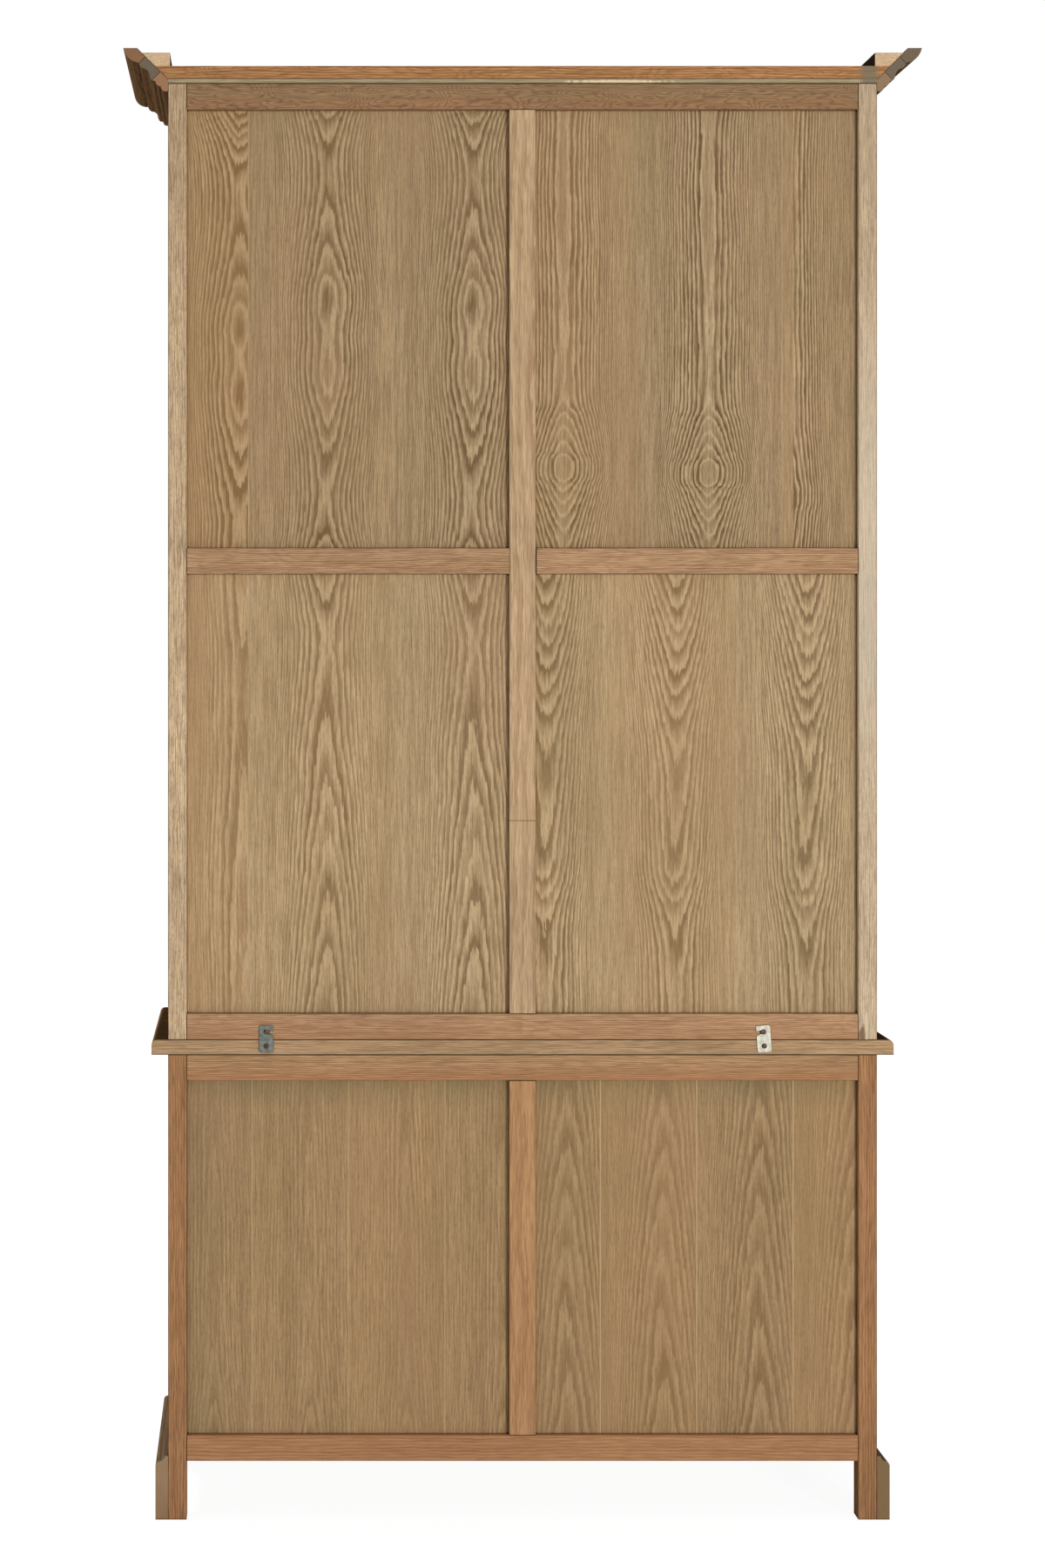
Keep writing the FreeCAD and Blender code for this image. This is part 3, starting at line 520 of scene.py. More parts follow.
def solid_oak(name, light, dark, run, number=None, pitch=0.0042, contrast=0.8, sheen=0.62,
              seed=1.0, poring=0.4, sway=1.0, wave=1.0, gloss=0.0, touches=(), heart=None):
    """Oak whose grain runs along one axis, or upright where a 0-to-1 value says so.

    The pitch is metres per ring. Number tells the members of one group apart."""
    bench = Bench(name)
    x, y, z = bench.x, bench.y, bench.z
    if callable(run):
        upright = run(bench)
        along, across, deep = bench.choose(upright, x, z), bench.choose(upright, z, x), y
    else:
        along, across, deep = {"x": (x, z, y), "y": (y, z, x), "z": (z, x, y)}[run]
    key = bench.add(number(bench), seed) if number else seed
    first, second, third = bench.step("SeparateXYZ", bench.chance(key, "Color"), every=True)
    if heart:
        sideways, inwards = heart(bench, first, second)
    else:
        sideways = bench.add(across, bench.times(first, heart_aside_range), heart_aside)
        inwards = bench.add(deep, bench.times(second, heart_depth_range), heart_depth)
    bend = bench.stretched(along, 0.0, key, (1.7, 1.0, 3.7))
    sideways = bench.add(sideways, bench.centred(bend, board_bend * sway))
    rings = bench.times(bench.length(sideways, inwards), 1 / pitch)
    start = bench.add(along, bench.times(third, 5.0))
    grain = ring_bands(bench, rings, start, across, deep, wave)[0]
    fine = pores(bench, start, across, deep)
    cloud = bench.stretched(start, across, deep, (4.0, 16.0, 16.0), 3.0, 3.0)
    comb = bench.stretched(start, across, deep, (12.0, 360.0, 360.0), 3.0, 6.0)
    comb = bench.ramp(comb, [(0.44, 0.0), (0.62, 1.0)])
    wood = bench.mix((grain, contrast), light, dark)
    wood = bench.mix((comb, 0.32), wood, dark)
    wood = bench.mix((fine, poring), wood, deeper(dark, 0.55))
    wood = bench.shaded(wood, bench.ramp(cloud, [(0.3, 0.84), (0.7, 1.0)]))
    tone = bench.add(bench.times(first, 0.14), 0.93)
    wood = bench.shaded(wood, bench.point(tone, tone, tone))
    for touch in touches:
        wood = touch(bench, wood)
    dull = bench.choose(grain, sheen, sheen + 0.1)
    relief = bench.minus(1.0, bench.add(bench.times(grain, 0.4), bench.times(fine, 0.6)))
    # The colour gets painted shade in its joints and corners before it goes on the surface.
    return bench.finish(painted_corner_shade(bench, wood), dull, relief, 0.00025, gloss, edge=0.0012)


print("solid oak recipe ready")

# %% [markdown]
# A rail's number comes from its height and side. The measures come from the frame.

# %% Numbers and measures of the members
def left_or_right(bench):
    return bench.below(bench.x, 0.0)


def storeys(*heights):
    """Counts how many of these heights a point lies above."""
    def count(bench):
        total = 0.0
        for height in heights:
            total = bench.add(total, bench.above(bench.z, height))
        return total

    return count


def levels(*heights):
    """Twice the count of heights, and 1 more on the -x side."""
    def count(bench):
        return bench.add(bench.times(storeys(*heights)(bench), 2.0), left_or_right(bench))

    return count


upper_low_z, case_top_z = (corner.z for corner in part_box("upper_back_rails"))
base_low_z, base_top_z = (corner.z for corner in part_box("base_back_rails"))
board_low_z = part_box("crown_board")[0].z
body_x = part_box("upper_back_posts")[1].x
stock, rail_height = 0.028, 0.0385
# The dark of joints, also used as painted shade in the gap at the crown's end.
seam_and_shade_dark = tint(46, 34, 24)
front_light, front_dark = tint(134, 101, 67), tint(82, 59, 38)
print("upper case from", round(upper_low_z, 4), "to", round(case_top_z, 4), "m")

# %% [markdown]
# Joints are thin dark lines, flat-sawn faces have wavy lines, and old boards carry marks.
# Each of these is a small function that takes the wood so far and gives it back changed.

# %% Joints, marks and figure
def seams(*places, axis="z", half=0.0009, strength=0.7):
    """The thin dark line of a joint, at these heights or distances from the middle."""
    def touch(bench, wood):
        value = bench.from_middle() if axis == "x" else bench.z
        return bench.mix((bench.lines(value, places, half), strength), wood, seam_and_shade_dark)

    return touch


def tinged(colour, share, start, end):
    """A colour that comes in between two heights."""
    def touch(bench, wood):
        rise = bench.step("MapRange", bench.z, start, end)
        return bench.mix((rise, share), wood, colour)

    return touch


def mark(colour, x, z, width, height, share=0.8, shift=0.0):
    """A ragged mark with its middle at x and z."""
    def touch(bench, wood):
        across = bench.times(bench.add(bench.x, -x), 2 / width)
        along = bench.times(bench.add(bench.z, -z), 2 / height)
        ragged = bench.patches(60.0, 160.0, 3.0, shift)
        reach = bench.add(bench.length(across, along), bench.centred(ragged, 1.4))
        inside = bench.ramp(reach, [(0.55, 1.0), (0.95, 0.0)])
        return bench.mix((inside, share), wood, colour)

    return touch


def figured(colour, share, lines, shift):
    """Wavy lines of a flat-sawn board, along a level piece."""
    def touch(bench, wood):
        waves = bench.stretched(bench.x, bench.z, bench.y, (5.0, 20.0, 20.0), 3.0, shift)
        line = bench.sum("PINGPONG", bench.times(waves, lines), 0.5)
        return bench.mix(bench.ramp(line, [(0.0, share), (0.3, 0.0)]), wood, colour)

    return touch


def speckled(bench, wood):
    """Short dark pores scattered over a pale piece."""
    speck = bench.stretched(bench.z, bench.x, bench.y, (150.0, 420.0, 420.0), 2.0, 4.0)
    return bench.mix(bench.ramp(speck, [(0.3, 0.34), (0.5, 0.0)]), wood, tint(118, 92, 66))


def stained(light, side_only=True, outer_band=0.0135):
    """Brings the outer faces to the finish of the outside."""
    ratio = tuple(outer / own for outer, own in zip(front_light[:3], light[:3])) + (1.0,)

    def touch(bench, wood):
        outward = bench.minus(1.0, bench.above(bench.facing()[1], 0.9))
        if side_only:
            outermost = bench.above(bench.from_middle(), body_x - outer_band)
            outward = bench.times(outward, outermost)
        return bench.mix(outward, wood, bench.shaded(wood, ratio))

    return touch


print("joints, marks and figure ready")

# %% [markdown]
# The upper case has paler posts and redder rails. Its top rail is browner than the rest,
# its posts darken towards the top, and the post at -x has gone grey.

# %% Frame of the upper case
def top_rail_figure(bench, wood):
    """Bolder figure and a browner tone on the two top rails."""
    is_top = bench.above(bench.z, case_top_z - 0.045)
    blotch = bench.stretched(bench.x, bench.z, 0.0, (5.0, 30.0, 1.0), 2.0, 14.0)
    low = bench.step("MapRange", bench.z, case_top_z - 0.008, case_top_z - 0.036)
    tone = bench.mix((low, blotch), tint(128, 106, 74), tint(158, 100, 68))
    rail = figured(tint(76, 58, 40), 0.42, 36.0, 8.0)(bench, bench.mix(0.55, wood, tone))
    return bench.mix(is_top, wood, rail)


def post_tones(bench, wood):
    """Both upper posts darken towards the top, and the one at -x is paler."""
    high = bench.step("MapRange", bench.z, 1.62, 2.0)
    wood = bench.mix((high, 0.24), wood, tint(138, 110, 78))
    pale = bench.ramp(bench.step("MapRange", bench.z, 0.7, 2.1),
                      [(0.25, 0.2), (0.42, 0.5), (0.62, 0.5), (0.85, 0.15)])
    return bench.mix((pale, left_or_right(bench)), wood, tint(212, 200, 180))


rail_ends = seams(body_x - stock, axis="x")
post_light = tint(234, 205, 166)
dress(["upper_back_posts"], solid_oak(
    "oak_upper_posts", post_light, tint(168, 137, 103), "z", left_or_right, 0.003, 0.6,
    poring=0.6, sway=0.3, seed=3.0, touches=[
        seams(case_top_z, upper_low_z), speckled, post_tones,
        mark(tint(112, 84, 58), -0.5105, 0.73, 0.012, 0.034, 0.8),
        mark(tint(222, 200, 168), -0.5165, 0.742, 0.008, 0.05, 0.7, 5.0),
        stained(post_light)]))
dress(["upper_back_stile"], solid_oak(
    "oak_upper_stile", tint(210, 178, 140), tint(162, 128, 94), "z", pitch=0.0044, contrast=0.7,
    seed=5.0, touches=[
        seams(upper_low_z + rail_height, case_top_z - rail_height, half=0.0012),
        seams(1.0497, half=0.0008, strength=0.5)]))
dress(["upper_back_rails"], solid_oak(
    "oak_upper_rails", tint(205, 165, 127), tint(140, 104, 72), "x",
    levels(upper_low_z + 0.3, case_top_z - 0.3), 0.0029, 0.7, seed=7.0, wave=1.8, touches=[
        figured(tint(130, 88, 58), 0.22, 14.0, 33.0), top_rail_figure,
        tinged(tint(170, 118, 84), 0.35, upper_low_z + 0.045, upper_low_z), rail_ends]))
print("solid oak on the upper case's back frame")

# %% [markdown]
# The base's frame is a warmer orange than the upper case's.

# %% Frame of the base
base_post_light = tint(184, 137, 96)
dress(["base_back_posts"], solid_oak(
    "oak_base_posts", base_post_light, tint(136, 95, 64), "z", left_or_right, 0.0034, 0.7,
    poring=0.45, sway=0.4, seed=9.0, touches=[seams(base_top_z), stained(base_post_light)]))
dress(["base_back_stile"], solid_oak(
    "oak_base_stile", tint(200, 154, 110), tint(158, 116, 80), "z", pitch=0.0042, contrast=0.6,
    seed=11.0, touches=[
        seams(base_low_z + rail_height, base_top_z - rail_height, half=0.0012)]))
dress(["base_back_rails"], solid_oak(
    "oak_base_rails", tint(199, 158, 118), tint(134, 98, 66), "x", storeys(0.4), 0.0029, 0.72,
    seed=13.0, wave=1.5, touches=[
        tinged(tint(168, 112, 74), 0.45, base_top_z - 0.012, base_top_z - 0.036),
        rail_ends, seams(base_top_z)]))
print("solid oak on the base's back frame")

# %% [markdown]
# Behind the crown lie a raw board on a thin plywood panel, and pale strips of another wood,
# nearly black on their inner faces.

# %% Boards of the waist and the top
def edge_stain(bench, wood):
    """A grey water mark on a board's back edge, at its -x end."""
    ragged = bench.stretched(bench.z, bench.x, bench.y, (30.0, 60.0, 60.0), 3.0, 50.0)
    away = bench.sum("ABSOLUTE", bench.add(bench.x, 0.522))
    reach = bench.add(bench.times(away, 60.0), bench.centred(ragged, 0.9))
    depth = bench.step("MapRange", bench.y, back_plane - 0.02, back_plane)
    wet = bench.times(bench.ramp(reach, [(0.45, 1.0), (1.0, 0.0)]), depth, 0.8)
    return bench.mix(wet, wood, tint(122, 114, 94))


def dark_within(bench, wood):
    """Nearly black on the faces that look to the middle."""
    outwards = bench.times(bench.facing()[0], bench.sum("SIGN", bench.x))
    return bench.mix(bench.below(outwards, -0.7), wood, tint(38, 30, 22))


waist_light = tint(194, 160, 122)
waist_edges = [corner.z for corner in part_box("waist_board")]
dress(["waist_board"], solid_oak(
    "oak_waist_board", waist_light, tint(136, 106, 74), "x", pitch=0.0026, contrast=0.55,
    seed=15.0,
    touches=[seams(*waist_edges, half=0.0013), stained(waist_light, side_only=False)]))
dress(["crown_board"], solid_oak(
    "oak_crown_board", tint(204, 151, 102), tint(140, 97, 60), "x", pitch=0.004, seed=17.0,
    touches=[figured(tint(118, 68, 38), 0.36, 26.0, 21.0), seams(board_low_z, half=0.0011),
             edge_stain]))
dress(["top_panel"], solid_oak(
    "plywood_edge", tint(186, 168, 134), tint(156, 136, 104), "x", pitch=0.0022, contrast=0.5,
    seed=19.0, touches=[
        mark(tint(236, 212, 172), -0.139, board_low_z - 0.004, 0.185, 0.0062, 0.85), edge_stain,
        seams(board_low_z - 0.0058, half=0.0006, strength=0.45),
        seams(board_low_z - 0.007, half=0.0012)]))
dress(["crown_strips"], solid_oak(
    "raw_strip_wood", tint(230, 199, 160), tint(200, 164, 122), "y", pitch=0.004, contrast=0.4,
    seed=21.0, touches=[dark_within]))
print("boards of the waist and the top dressed")

# %% [markdown]
# The crown and the plinth are sawn flush at the back, so their ends show raw wood. The
# crown's end is three pieces glued at a slant, each of a different wood, and a dark patch
# at its top is painted shade for the gap next to the board.

# %% Sawn ends of the mouldings
glue_lines = (0.041, 0.086)
crown_gap = board_low_z - case_top_z + 0.01
return_low_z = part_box("crown_returns")[0].z


def crown_end(bench, left):
    """The three glued pieces of the crown, their joints, and painted shade by the board."""
    out = bench.minus(bench.from_middle(), body_x)
    rise = bench.minus(bench.z, return_low_z)
    slant = bench.add(out, rise)
    low = bench.mix(left, tint(162, 134, 104), tint(180, 134, 100))
    top = bench.mix(left, tint(124, 110, 92), tint(158, 118, 86))
    wood = bench.mix(bench.above(slant, glue_lines[0]), low, tint(124, 113, 98))
    wood = bench.mix(bench.above(slant, glue_lines[1]), wood, top)
    # Painted shade: dark above a slant line, for the gap next to the board.
    gap_shade = bench.above(bench.minus(rise, out), crown_gap)
    dark = bench.sum("MAXIMUM", bench.lines(slant, glue_lines, 0.0009), gap_shade)
    return bench.mix((dark, 0.7), wood, seam_and_shade_dark)


def plinth_end(bench, left):
    """The plinth's end, paler and patchy over the foot at the +x side."""
    wood = bench.mix(left, tint(140, 116, 82), tint(154, 124, 92))
    patchy = bench.stretched(bench.z, bench.x, bench.y, (34.0, 90.0, 90.0), 3.0, 60.0)
    foot_top = bench.step("MapRange", bench.z, 0.02, 0.06)
    return bench.mix((patchy, foot_top, left, 0.7), wood, tint(184, 158, 130))


def sawn_ends(bench, wood):
    """Raw ends at the back, and a darker tone on all other faces."""
    left = bench.above(bench.x, 0.0)
    is_crown = bench.above(bench.z, 1.0)
    end = bench.mix(is_crown, plinth_end(bench, left), crown_end(bench, left))
    side_tone = bench.mix(is_crown, tint(118, 104, 88), tint(62, 46, 34))
    is_end = bench.above(bench.facing()[1], 0.9)
    return bench.mix((is_end, 0.75), bench.mix(0.4, wood, side_tone), end)


print("the crown's end has glue lines at", glue_lines, "m")

# %% [markdown]
# The outside is oak in a browner finish. A door frame holds uprights and rails in one solid
# group, so its grain turns by place: upright near the door's edges and level between them.
# A wide panel looks best with an arch in its middle, so there the log's heart lies behind
# the panel's middle and sinks away from the face with height.

# %% Grain of doors and panels
door_edge_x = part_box("upper_right_door_frame")[1].x
stile_width = 0.062
panel_feet = (0.15, 0.8, 1.46)
panel_tops = (0.76, 1.44)
side_low, side_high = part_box("upper_side_panels")


def door_stiles(bench):
    """1 on the uprights of a door frame and 0 on its rails."""
    away = bench.from_middle()
    inner = bench.below(away, stile_width + 0.001)
    return bench.sum("MAXIMUM", inner, bench.above(away, door_edge_x - stile_width))


def door_members(bench):
    """A number for each upright and rail of the doors."""
    outer = bench.above(bench.from_middle(), door_edge_x - stile_width)
    number = bench.add(bench.times(outer, 3.0), bench.times(left_or_right(bench), 7.0))
    rails = bench.minus(1.0, door_stiles(bench))
    storey = storeys(0.3, 0.9, 1.45, 1.9)(bench)
    return bench.add(number, bench.times(storey, rails, 11.0))


def panel_heart(middle, swing):
    """The log's heart behind a panel; middle gives the way from the panel's middle."""
    def heart(bench, first, second):
        sideways = bench.add(middle(bench), bench.centred(first, swing))
        height = bench.minus(bench.z, panel_feet[0])
        for below, foot in zip(panel_feet, panel_feet[1:]):
            height = bench.minus(height, bench.times(bench.above(bench.z, foot), foot - below))
        return sideways, bench.add(bench.times(height, 0.075), bench.times(second, 0.016), 0.005)

    return heart


door_heart = panel_heart(lambda bench: bench.add(bench.from_middle(), -door_edge_x / 2), 0.09)
side_heart = panel_heart(lambda bench: bench.add(bench.y, -(side_low.y + side_high.y) / 2), 0.08)
print("the doors' outer edge is at", round(door_edge_x, 4), "m")

# %% [markdown]
# The outer pieces differ in which way the grain runs and in how members are told apart.

# %% Oak of the outside
def outer_oak(names, name, run, number, seed, **more):
    dress(names, solid_oak(name, front_light, front_dark, run, number, seed=seed, **more))


def doors(part):
    return [f"{case}_{side}_door_{part}"
            for case in ("upper", "base") for side in ("right", "left")]


outer_oak(["upper_front_rails", "base_front_rails", "right_drawer_front", "left_drawer_front"],
          "outer_oak_across", "x", levels(0.3, 0.6, 1.0, 1.8), 23.0, gloss=0.1)
outer_oak(["crown_front", "plinth_front"],
          "outer_oak_mouldings", "x", levels(1.0), 39.0, gloss=0.04, touches=[sawn_ends])
outer_oak(["upper_side_rails", "base_side_rails"],
          "outer_oak_sides", "y", levels(0.4, 0.9, 1.8), 25.0)
outer_oak(["crown_returns", "plinth_returns"],
          "outer_oak_returns", "y", levels(1.0), 37.0, touches=[sawn_ends])
outer_oak(["upper_front_posts", "base_front_posts", "drawer_divider"],
          "outer_oak_upright", "z", levels(0.9), 27.0, gloss=0.04)
outer_oak(["upper_side_panels", "base_side_panels"], "outer_oak_side_panels", "z",
          levels(*panel_tops), 31.0, pitch=0.0052, heart=side_heart, wave=1.3)
outer_oak(doors("frame"), "outer_oak_doors", door_stiles, door_members, 33.0, gloss=0.12)
outer_oak(doors("panels"), "outer_oak_door_panels", "z",
          levels(*panel_tops), 35.0, pitch=0.0052, gloss=0.1, heart=door_heart, wave=1.3)
print("browner oak on", len(doors("frame")), "doors and the rest of the outside")

# %% [markdown]
# Inside, the wood of the shelves and the drawers is plain and was never stained.

# %% Wood of the inside
inner = solid_oak("inner_wood", tint(196, 164, 124), tint(160, 126, 88), "x", levels(0.6, 1.2, 1.8),
                  seed=29.0, contrast=0.6)
inner_pieces = ["upper_bottom_board", "upper_fixed_shelf", "loose_shelves", "shelf_cleats",
                "base_bottom_board", "drawer_runners", "right_drawer_box", "left_drawer_box"]
dress(inner_pieces, inner)
print("plain wood on", len(inner_pieces), "groups of the inside")

# %% [markdown]
# The hooks are sheet steel, one dark and one still grey with zinc. Knobs and hinges are
# brass that has lost its shine. Scratches change how rough the metal is rather than its
# colour, so they show only where light glances off.

# %% Metal and plastic
def metal(name, bright, dull, roughness, scratches=0.22):
    """Plain metal with faint scratches and a mottled tone."""
    bench = Bench(name)
    mottle = bench.ramp(bench.grains(160.0, 4.0), [(0.35, 0.0), (0.7, 1.0)])
    lines = bench.stretched(bench.x, bench.y, bench.z, (2600.0, 900.0, 260.0))
    rough = bench.add(bench.times(lines, scratches), roughness - scratches / 2)
    return bench.finish(bench.mix(mottle, bright, dull), rough, lines, 0.00008, 0.5, 1.0)


brass = metal("aged_brass", tint(178, 150, 98), tint(126, 100, 60), 0.34)
screw_steel = metal("screw_steel", tint(104, 88, 72), tint(66, 54, 44), 0.55)
dress([name for name in nodes if name.endswith(("knob", "leaves", "pins"))], brass)
dress(["right_hook_plate"],
      metal("dark_steel", tint(112, 116, 110), tint(80, 84, 80), 0.55))
dress(["left_hook_plate"],
      metal("zinc_steel", tint(190, 187, 174), tint(152, 148, 134), 0.62))
dress(["hook_screws"], screw_steel)
catch = Bench("catch_plastic")
speck = catch.grains(900.0, 3.0)
catch_brown = catch.mix(speck, tint(112, 84, 58), tint(128, 98, 70))
dress(["door_catches"], catch.finish(catch_brown, 0.5, speck, 0.00005, 0.4))
print("metal and plastic done")

# %% [markdown]
# Knobs and screws are turned, so each is a short outline spun round an axis into one closed
# skin. A few more points on the outline than the solid has make a knob's swelling smooth.

# %% Turned pieces
def mesh_of(shape, name):
    """Keeps an edited shape as a mesh."""
    mesh = bpy.data.meshes.new(name)
    shape.to_mesh(mesh)
    shape.free()
    return mesh


def spun(name, outline, place, axis, material, turns=40):
    """A closed turned piece. The outline lists (distance along the axis, radius)."""
    shape = bmesh.new()
    rings = []
    for distance, radius in outline:
        if radius == 0:
            rings.append([shape.verts.new((0, 0, distance))])
            continue
        angles = [2 * math.pi * count / turns for count in range(turns)]
        rings.append([shape.verts.new(
            (radius * math.cos(angle), radius * math.sin(angle), distance)) for angle in angles])
    for lower, upper in zip(rings, rings[1:]):
        for count in range(turns):
            after = (count + 1) % turns
            corners = dict.fromkeys([lower[count % len(lower)], lower[after % len(lower)],
                                     upper[after % len(upper)], upper[count % len(upper)]])
            if len(corners) > 2:
                shape.faces.new(list(corners))
    bmesh.ops.recalc_face_normals(shape, faces=shape.faces)
    turn = Vector(axis).to_track_quat("Z", "Y").to_matrix().to_4x4()
    shape.transform(Matrix.Translation(Vector(place)) @ turn)
    for face in shape.faces:
        face.smooth = True
    mesh = mesh_of(shape, name)
    mesh.materials.append(material)
    mesh.set_sharp_from_angle(angle=math.radians(38))
    return placed(name, mesh)


def curve_through(points, steps=4):
    """A smooth outline through a few points."""
    padded = [points[0]] + list(points) + [points[-1]]
    smooth = []
    for a, b, c, d in zip(padded, padded[1:], padded[2:], padded[3:]):
        for count in range(steps):
            t = count / steps
            smooth.append(tuple(
                0.5 * (2 * q + (r - p) * t + (2 * p - 5 * q + 4 * r - s) * t * t
                       + (3 * q - p - 3 * r + s) * t ** 3)
                for p, q, r, s in zip(a, b, c, d)))
    return smooth + [points[-1]]


knob_swell = curve_through([
    (0.004, 0.0046), (0.0075, 0.0045), (0.0105, 0.007), (0.014, 0.0112),
    (0.0165, 0.012), (0.0195, 0.0108), (0.0222, 0.007), (0.0236, 0.003),
])
knob_outline = [(0.0, 0.0), (0.0, 0.0128), (0.0004, 0.013), (0.0018, 0.013), (0.0025, 0.0122),
                (0.003, 0.006)] + knob_swell + [(0.024, 0.0)]
knob_names = [name for name in nodes if name.endswith("_knob")]
for name in knob_names:
    low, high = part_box(name)
    place = ((low.x + high.x) / 2, high.y, (low.z + high.z) / 2)
    knob = spun(name + "_turned", knob_outline, place, (0, -1, 0), brass)
    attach(knob, nodes[name]["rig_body"])
    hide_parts(name)
print("turned", len(knob_names), "knobs")

# %% [markdown]
# A screw needs its driving slot. Cutting it from the head with a Boolean makes it a real
# recess that light falls into.

# %% Screws
def cut_from(thing, cutters):
    """Cuts boxes, given as (middle, size), from a piece."""
    for middle, size in cutters:
        shape = bmesh.new()
        bmesh.ops.create_cube(shape, size=1.0)
        shape.transform(Matrix.Translation(Vector(middle)) @ Matrix.Diagonal((*size, 1.0)))
        cutter = placed("cutter", mesh_of(shape, "cutter"))
        step = thing.modifiers.new("cut", "BOOLEAN")
        step.operation, step.solver, step.object = "DIFFERENCE", "EXACT", cutter
        bpy.context.view_layer.update()
        state = bpy.context.evaluated_depsgraph_get()
        cut = bpy.data.meshes.new_from_object(thing.evaluated_get(state))
        thing.modifiers.clear()
        thing.data = cut
        bpy.data.objects.remove(cutter)


def merged(name, things, body):
    """Several small pieces as one piece that rides on a body."""
    shape = bmesh.new()
    for thing in things:
        shape.from_mesh(thing.data)
    mesh = mesh_of(shape, name)
    mesh.materials.append(things[0].data.materials[0])
    for thing in things:
        bpy.data.objects.remove(thing)
    whole = placed(name, mesh)
    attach(whole, body)
    return whole


plate_back_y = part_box("right_hook_plate")[1].y
pan_head = [(-0.02, 0.0), (-0.02, 0.0016), (-0.018, 0.0021), (0.0, 0.0021), (0.0, 0.0039),
            (0.0003, 0.004), (0.0008, 0.0039), (0.0013, 0.0034), (0.0017, 0.0022), (0.0018, 0.0)]
hook_screws = []
pivot_z, arm = 0.7116, 0.0212
head_rise = pan_head[-1][0]
slot_width, slot_depth, slot_length = 0.0009, 0.0022, 0.0044
for x, lean in ((0.385, 0.0), (-0.363, math.radians(4))):
    for reach in (0.0, arm):
        place = (x + reach * math.sin(lean), plate_back_y, pivot_z + reach * math.cos(lean))
        screw = spun("screw", pan_head, place, (0, 1, 0), screw_steel, 32)
        slot_middle = (place[0], place[1] + head_rise, place[2])
        cut_from(screw, [(slot_middle, (slot_width, slot_depth, slot_length)),
                         (slot_middle, (slot_length, slot_depth, slot_width))])
        hook_screws.append(screw)
hook_heads = merged("hook_screws_turned", hook_screws, "case")
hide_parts("hook_screws")
print("hook screws", len(hook_screws))

# %% [markdown]
# Three countersunk screws hold each leaf of a hinge. They lie flush and only show when a
# door is open, so a shallow turned head with one slot is enough.

# %% Hinge screws
hinge_height = 0.07
post_face = 0.5045
screw_rows = ((-0.026, 0.0115), (0.0, 0.0075), (0.026, 0.0115))
flat_head = [(-0.0012, 0.0), (-0.0012, 0.002), (0.0, 0.0034), (0.00015, 0.0033), (0.0002, 0.0)]
flat_slot = (0.0012, 0.0008, 0.0072)
screw_count = 0
for node in [name for name in nodes if name.endswith("door_hinge_leaves")]:
    body = nodes[node]["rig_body"]
    low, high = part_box(node)
    frame_low, frame_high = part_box(node.replace("hinge_leaves", "frame"))
    right = "right" in node
    aim = 1 if right else -1
    door_face_x = frame_high.x if right else frame_low.x
    middles = [low.z + hinge_height / 2, high.z - hinge_height / 2]
    if node.startswith("upper"):
        middles.append(sum(middles) / 2)
    door_screws, post_screws = [], []
    sides = ((door_screws, door_face_x, aim), (post_screws, aim * post_face, -aim))
    for middle in middles:
        for rise, inset in screw_rows:
            y, z = frame_low.y + inset, middle + rise
            for heads, face, way in sides:
                head = spun("screw", flat_head, (face, y, z), (way, 0, 0), brass, 24)
                cut_from(head, [((face + way * flat_head[-1][0], y, z), flat_slot)])
                heads.append(head)
    screw_count += 2 * len(door_screws)
    merged(node + "_screws", door_screws, body)
    merged(body + "_post_screws", post_screws, "case")
print("hinge screws", screw_count)

# %% [markdown]
# The room is a pale floor and a white surround, which look white only to the camera, in
# reflections and through glass. The wood gets soft light from the world and two big lamps,
# one behind the cupboard and one in front.

# %% Floor, surround and lamps
def seen_directly(tree):
    """1 for rays from the camera, a reflection or through glass, else 0."""
    path = tree.nodes.new("ShaderNodeLightPath")
    seen = path.outputs["Is Camera Ray"]
    for kind in ("Is Glossy Ray", "Is Transmission Ray"):
        larger = tree.nodes.new("ShaderNodeMath")
        larger.operation = "MAXIMUM"
        tree.links.new(seen, larger.inputs[0])
        tree.links.new(path.outputs[kind], larger.inputs[1])
        seen = larger.outputs[0]
    return seen


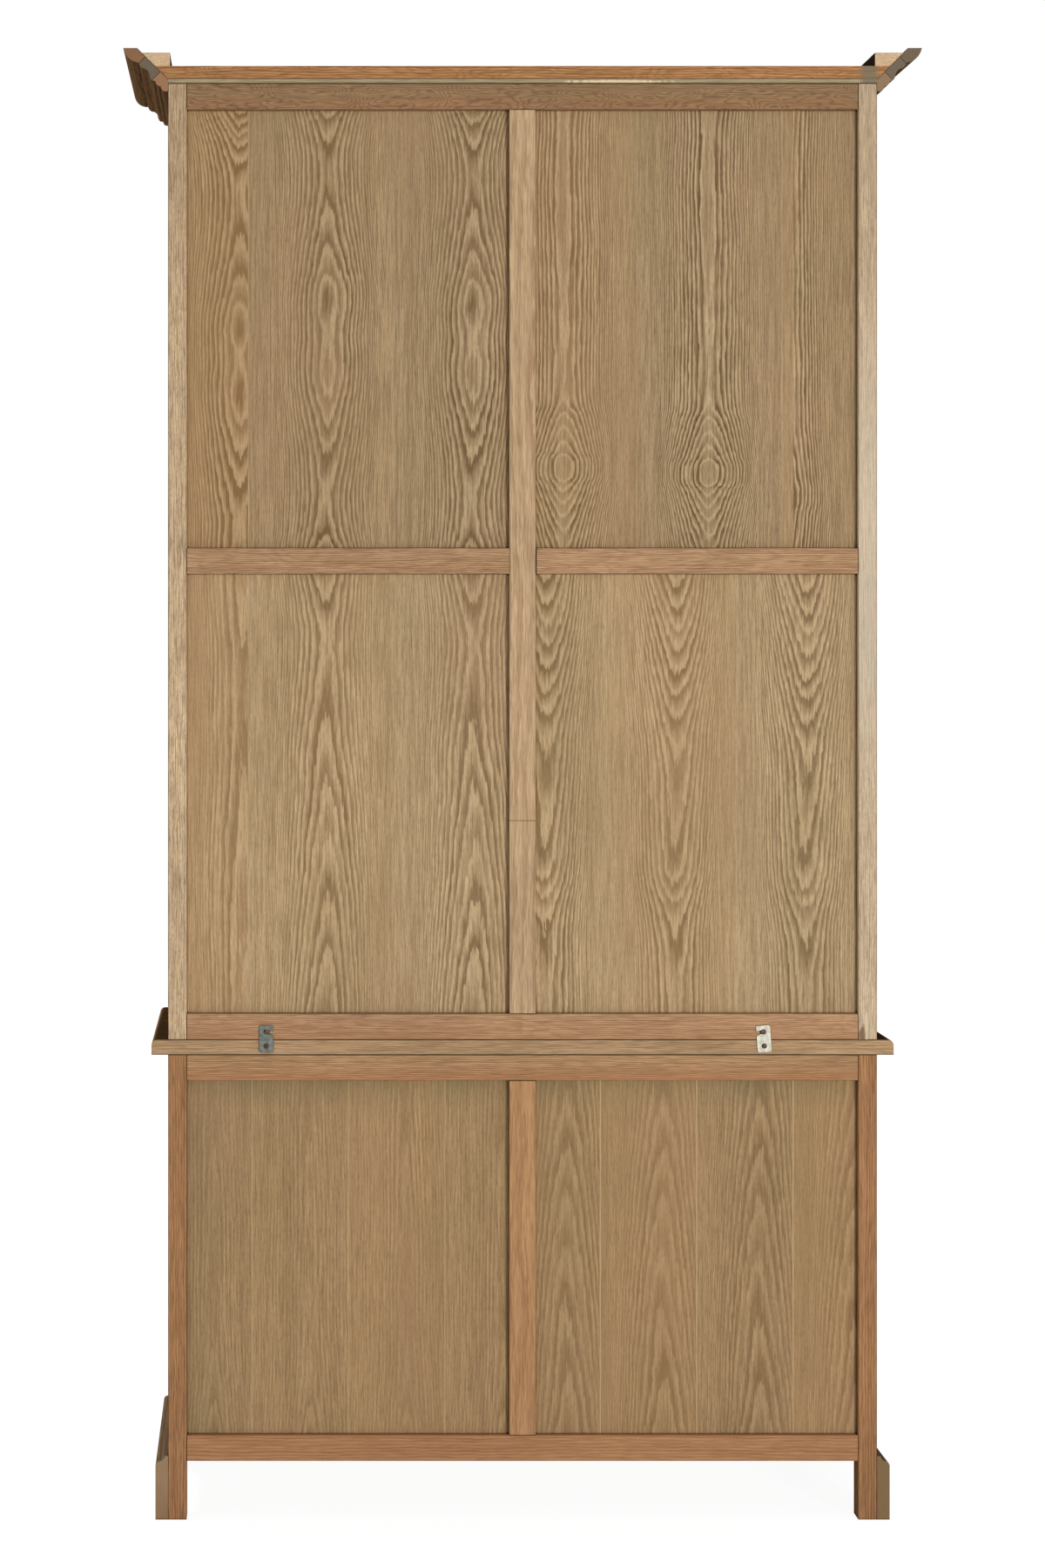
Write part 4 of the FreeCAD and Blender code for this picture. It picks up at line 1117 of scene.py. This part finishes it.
def stage_floor(half=9.0, grey=0.86, glow_strength=1.17, glow_share=0.8):
    """A pale floor that keeps the shadow of what stands on it."""
    mesh = bpy.data.meshes.new("floor")
    corners = [(-half, -half, 0.0), (half, -half, 0.0), (half, half, 0.0), (-half, half, 0.0)]
    mesh.from_pydata(corners, [], [(0, 1, 2, 3)])
    floor = placed("floor", mesh)
    bench = Bench("pale_floor")
    bench.fill(bench.surface, {"Base Color": (grey, grey, grey, 1.0), "Roughness": 0.9})
    glow = bench.step("Emission", (1.0, 1.0, 1.0, 1.0), glow_strength)
    share = bench.times(seen_directly(bench.tree), glow_share)
    blend = bench.step("MixShader", share, bench.surface.outputs[0], glow)
    bench.plug(bench.tree.nodes["Material Output"].inputs[0], blend)
    mesh.materials.append(bench.material)


def surround(strength):
    """A world of this strength that the camera sees as plain white."""
    world = bpy.data.worlds.new("surround")
    bpy.context.scene.world = world
    world.use_nodes = True
    tree = world.node_tree
    plain = tree.nodes["Background"]
    white = tree.nodes.new("ShaderNodeBackground")
    for background, level in ((plain, strength), (white, 1.0)):
        background.inputs[0].default_value = (1.0, 1.0, 1.0, 1.0)
        background.inputs[1].default_value = level
    blend = tree.nodes.new("ShaderNodeMixShader")
    sources = (seen_directly(tree), plain.outputs[0], white.outputs[0])
    for source, socket in zip(sources, blend.inputs):
        tree.links.new(source, socket)
    tree.links.new(blend.outputs[0], tree.nodes["World Output"].inputs[0])


def lamp(name, place, power, size, aim=(0, 0, 1.1)):
    """A square soft lamp that faces the middle of the cupboard."""
    light = bpy.data.lights.new(name, "AREA")
    light.energy = power
    light.size = size
    thing = placed(name, light)
    thing.location = place
    thing.rotation_euler = (Vector(aim) - Vector(place)).to_track_quat("-Z", "Y").to_euler()


stage_floor()
surround(0.4)
lamp("back_lamp", (-2.6, 6.3, 1.2), 225.0, 0.9)
lamp("front_lamp", (4.4, -4.2, 3.4), 300.0, 1.0)
bpy.context.scene.view_settings.view_transform = "Standard"
print("floor, surround and lamps ready")
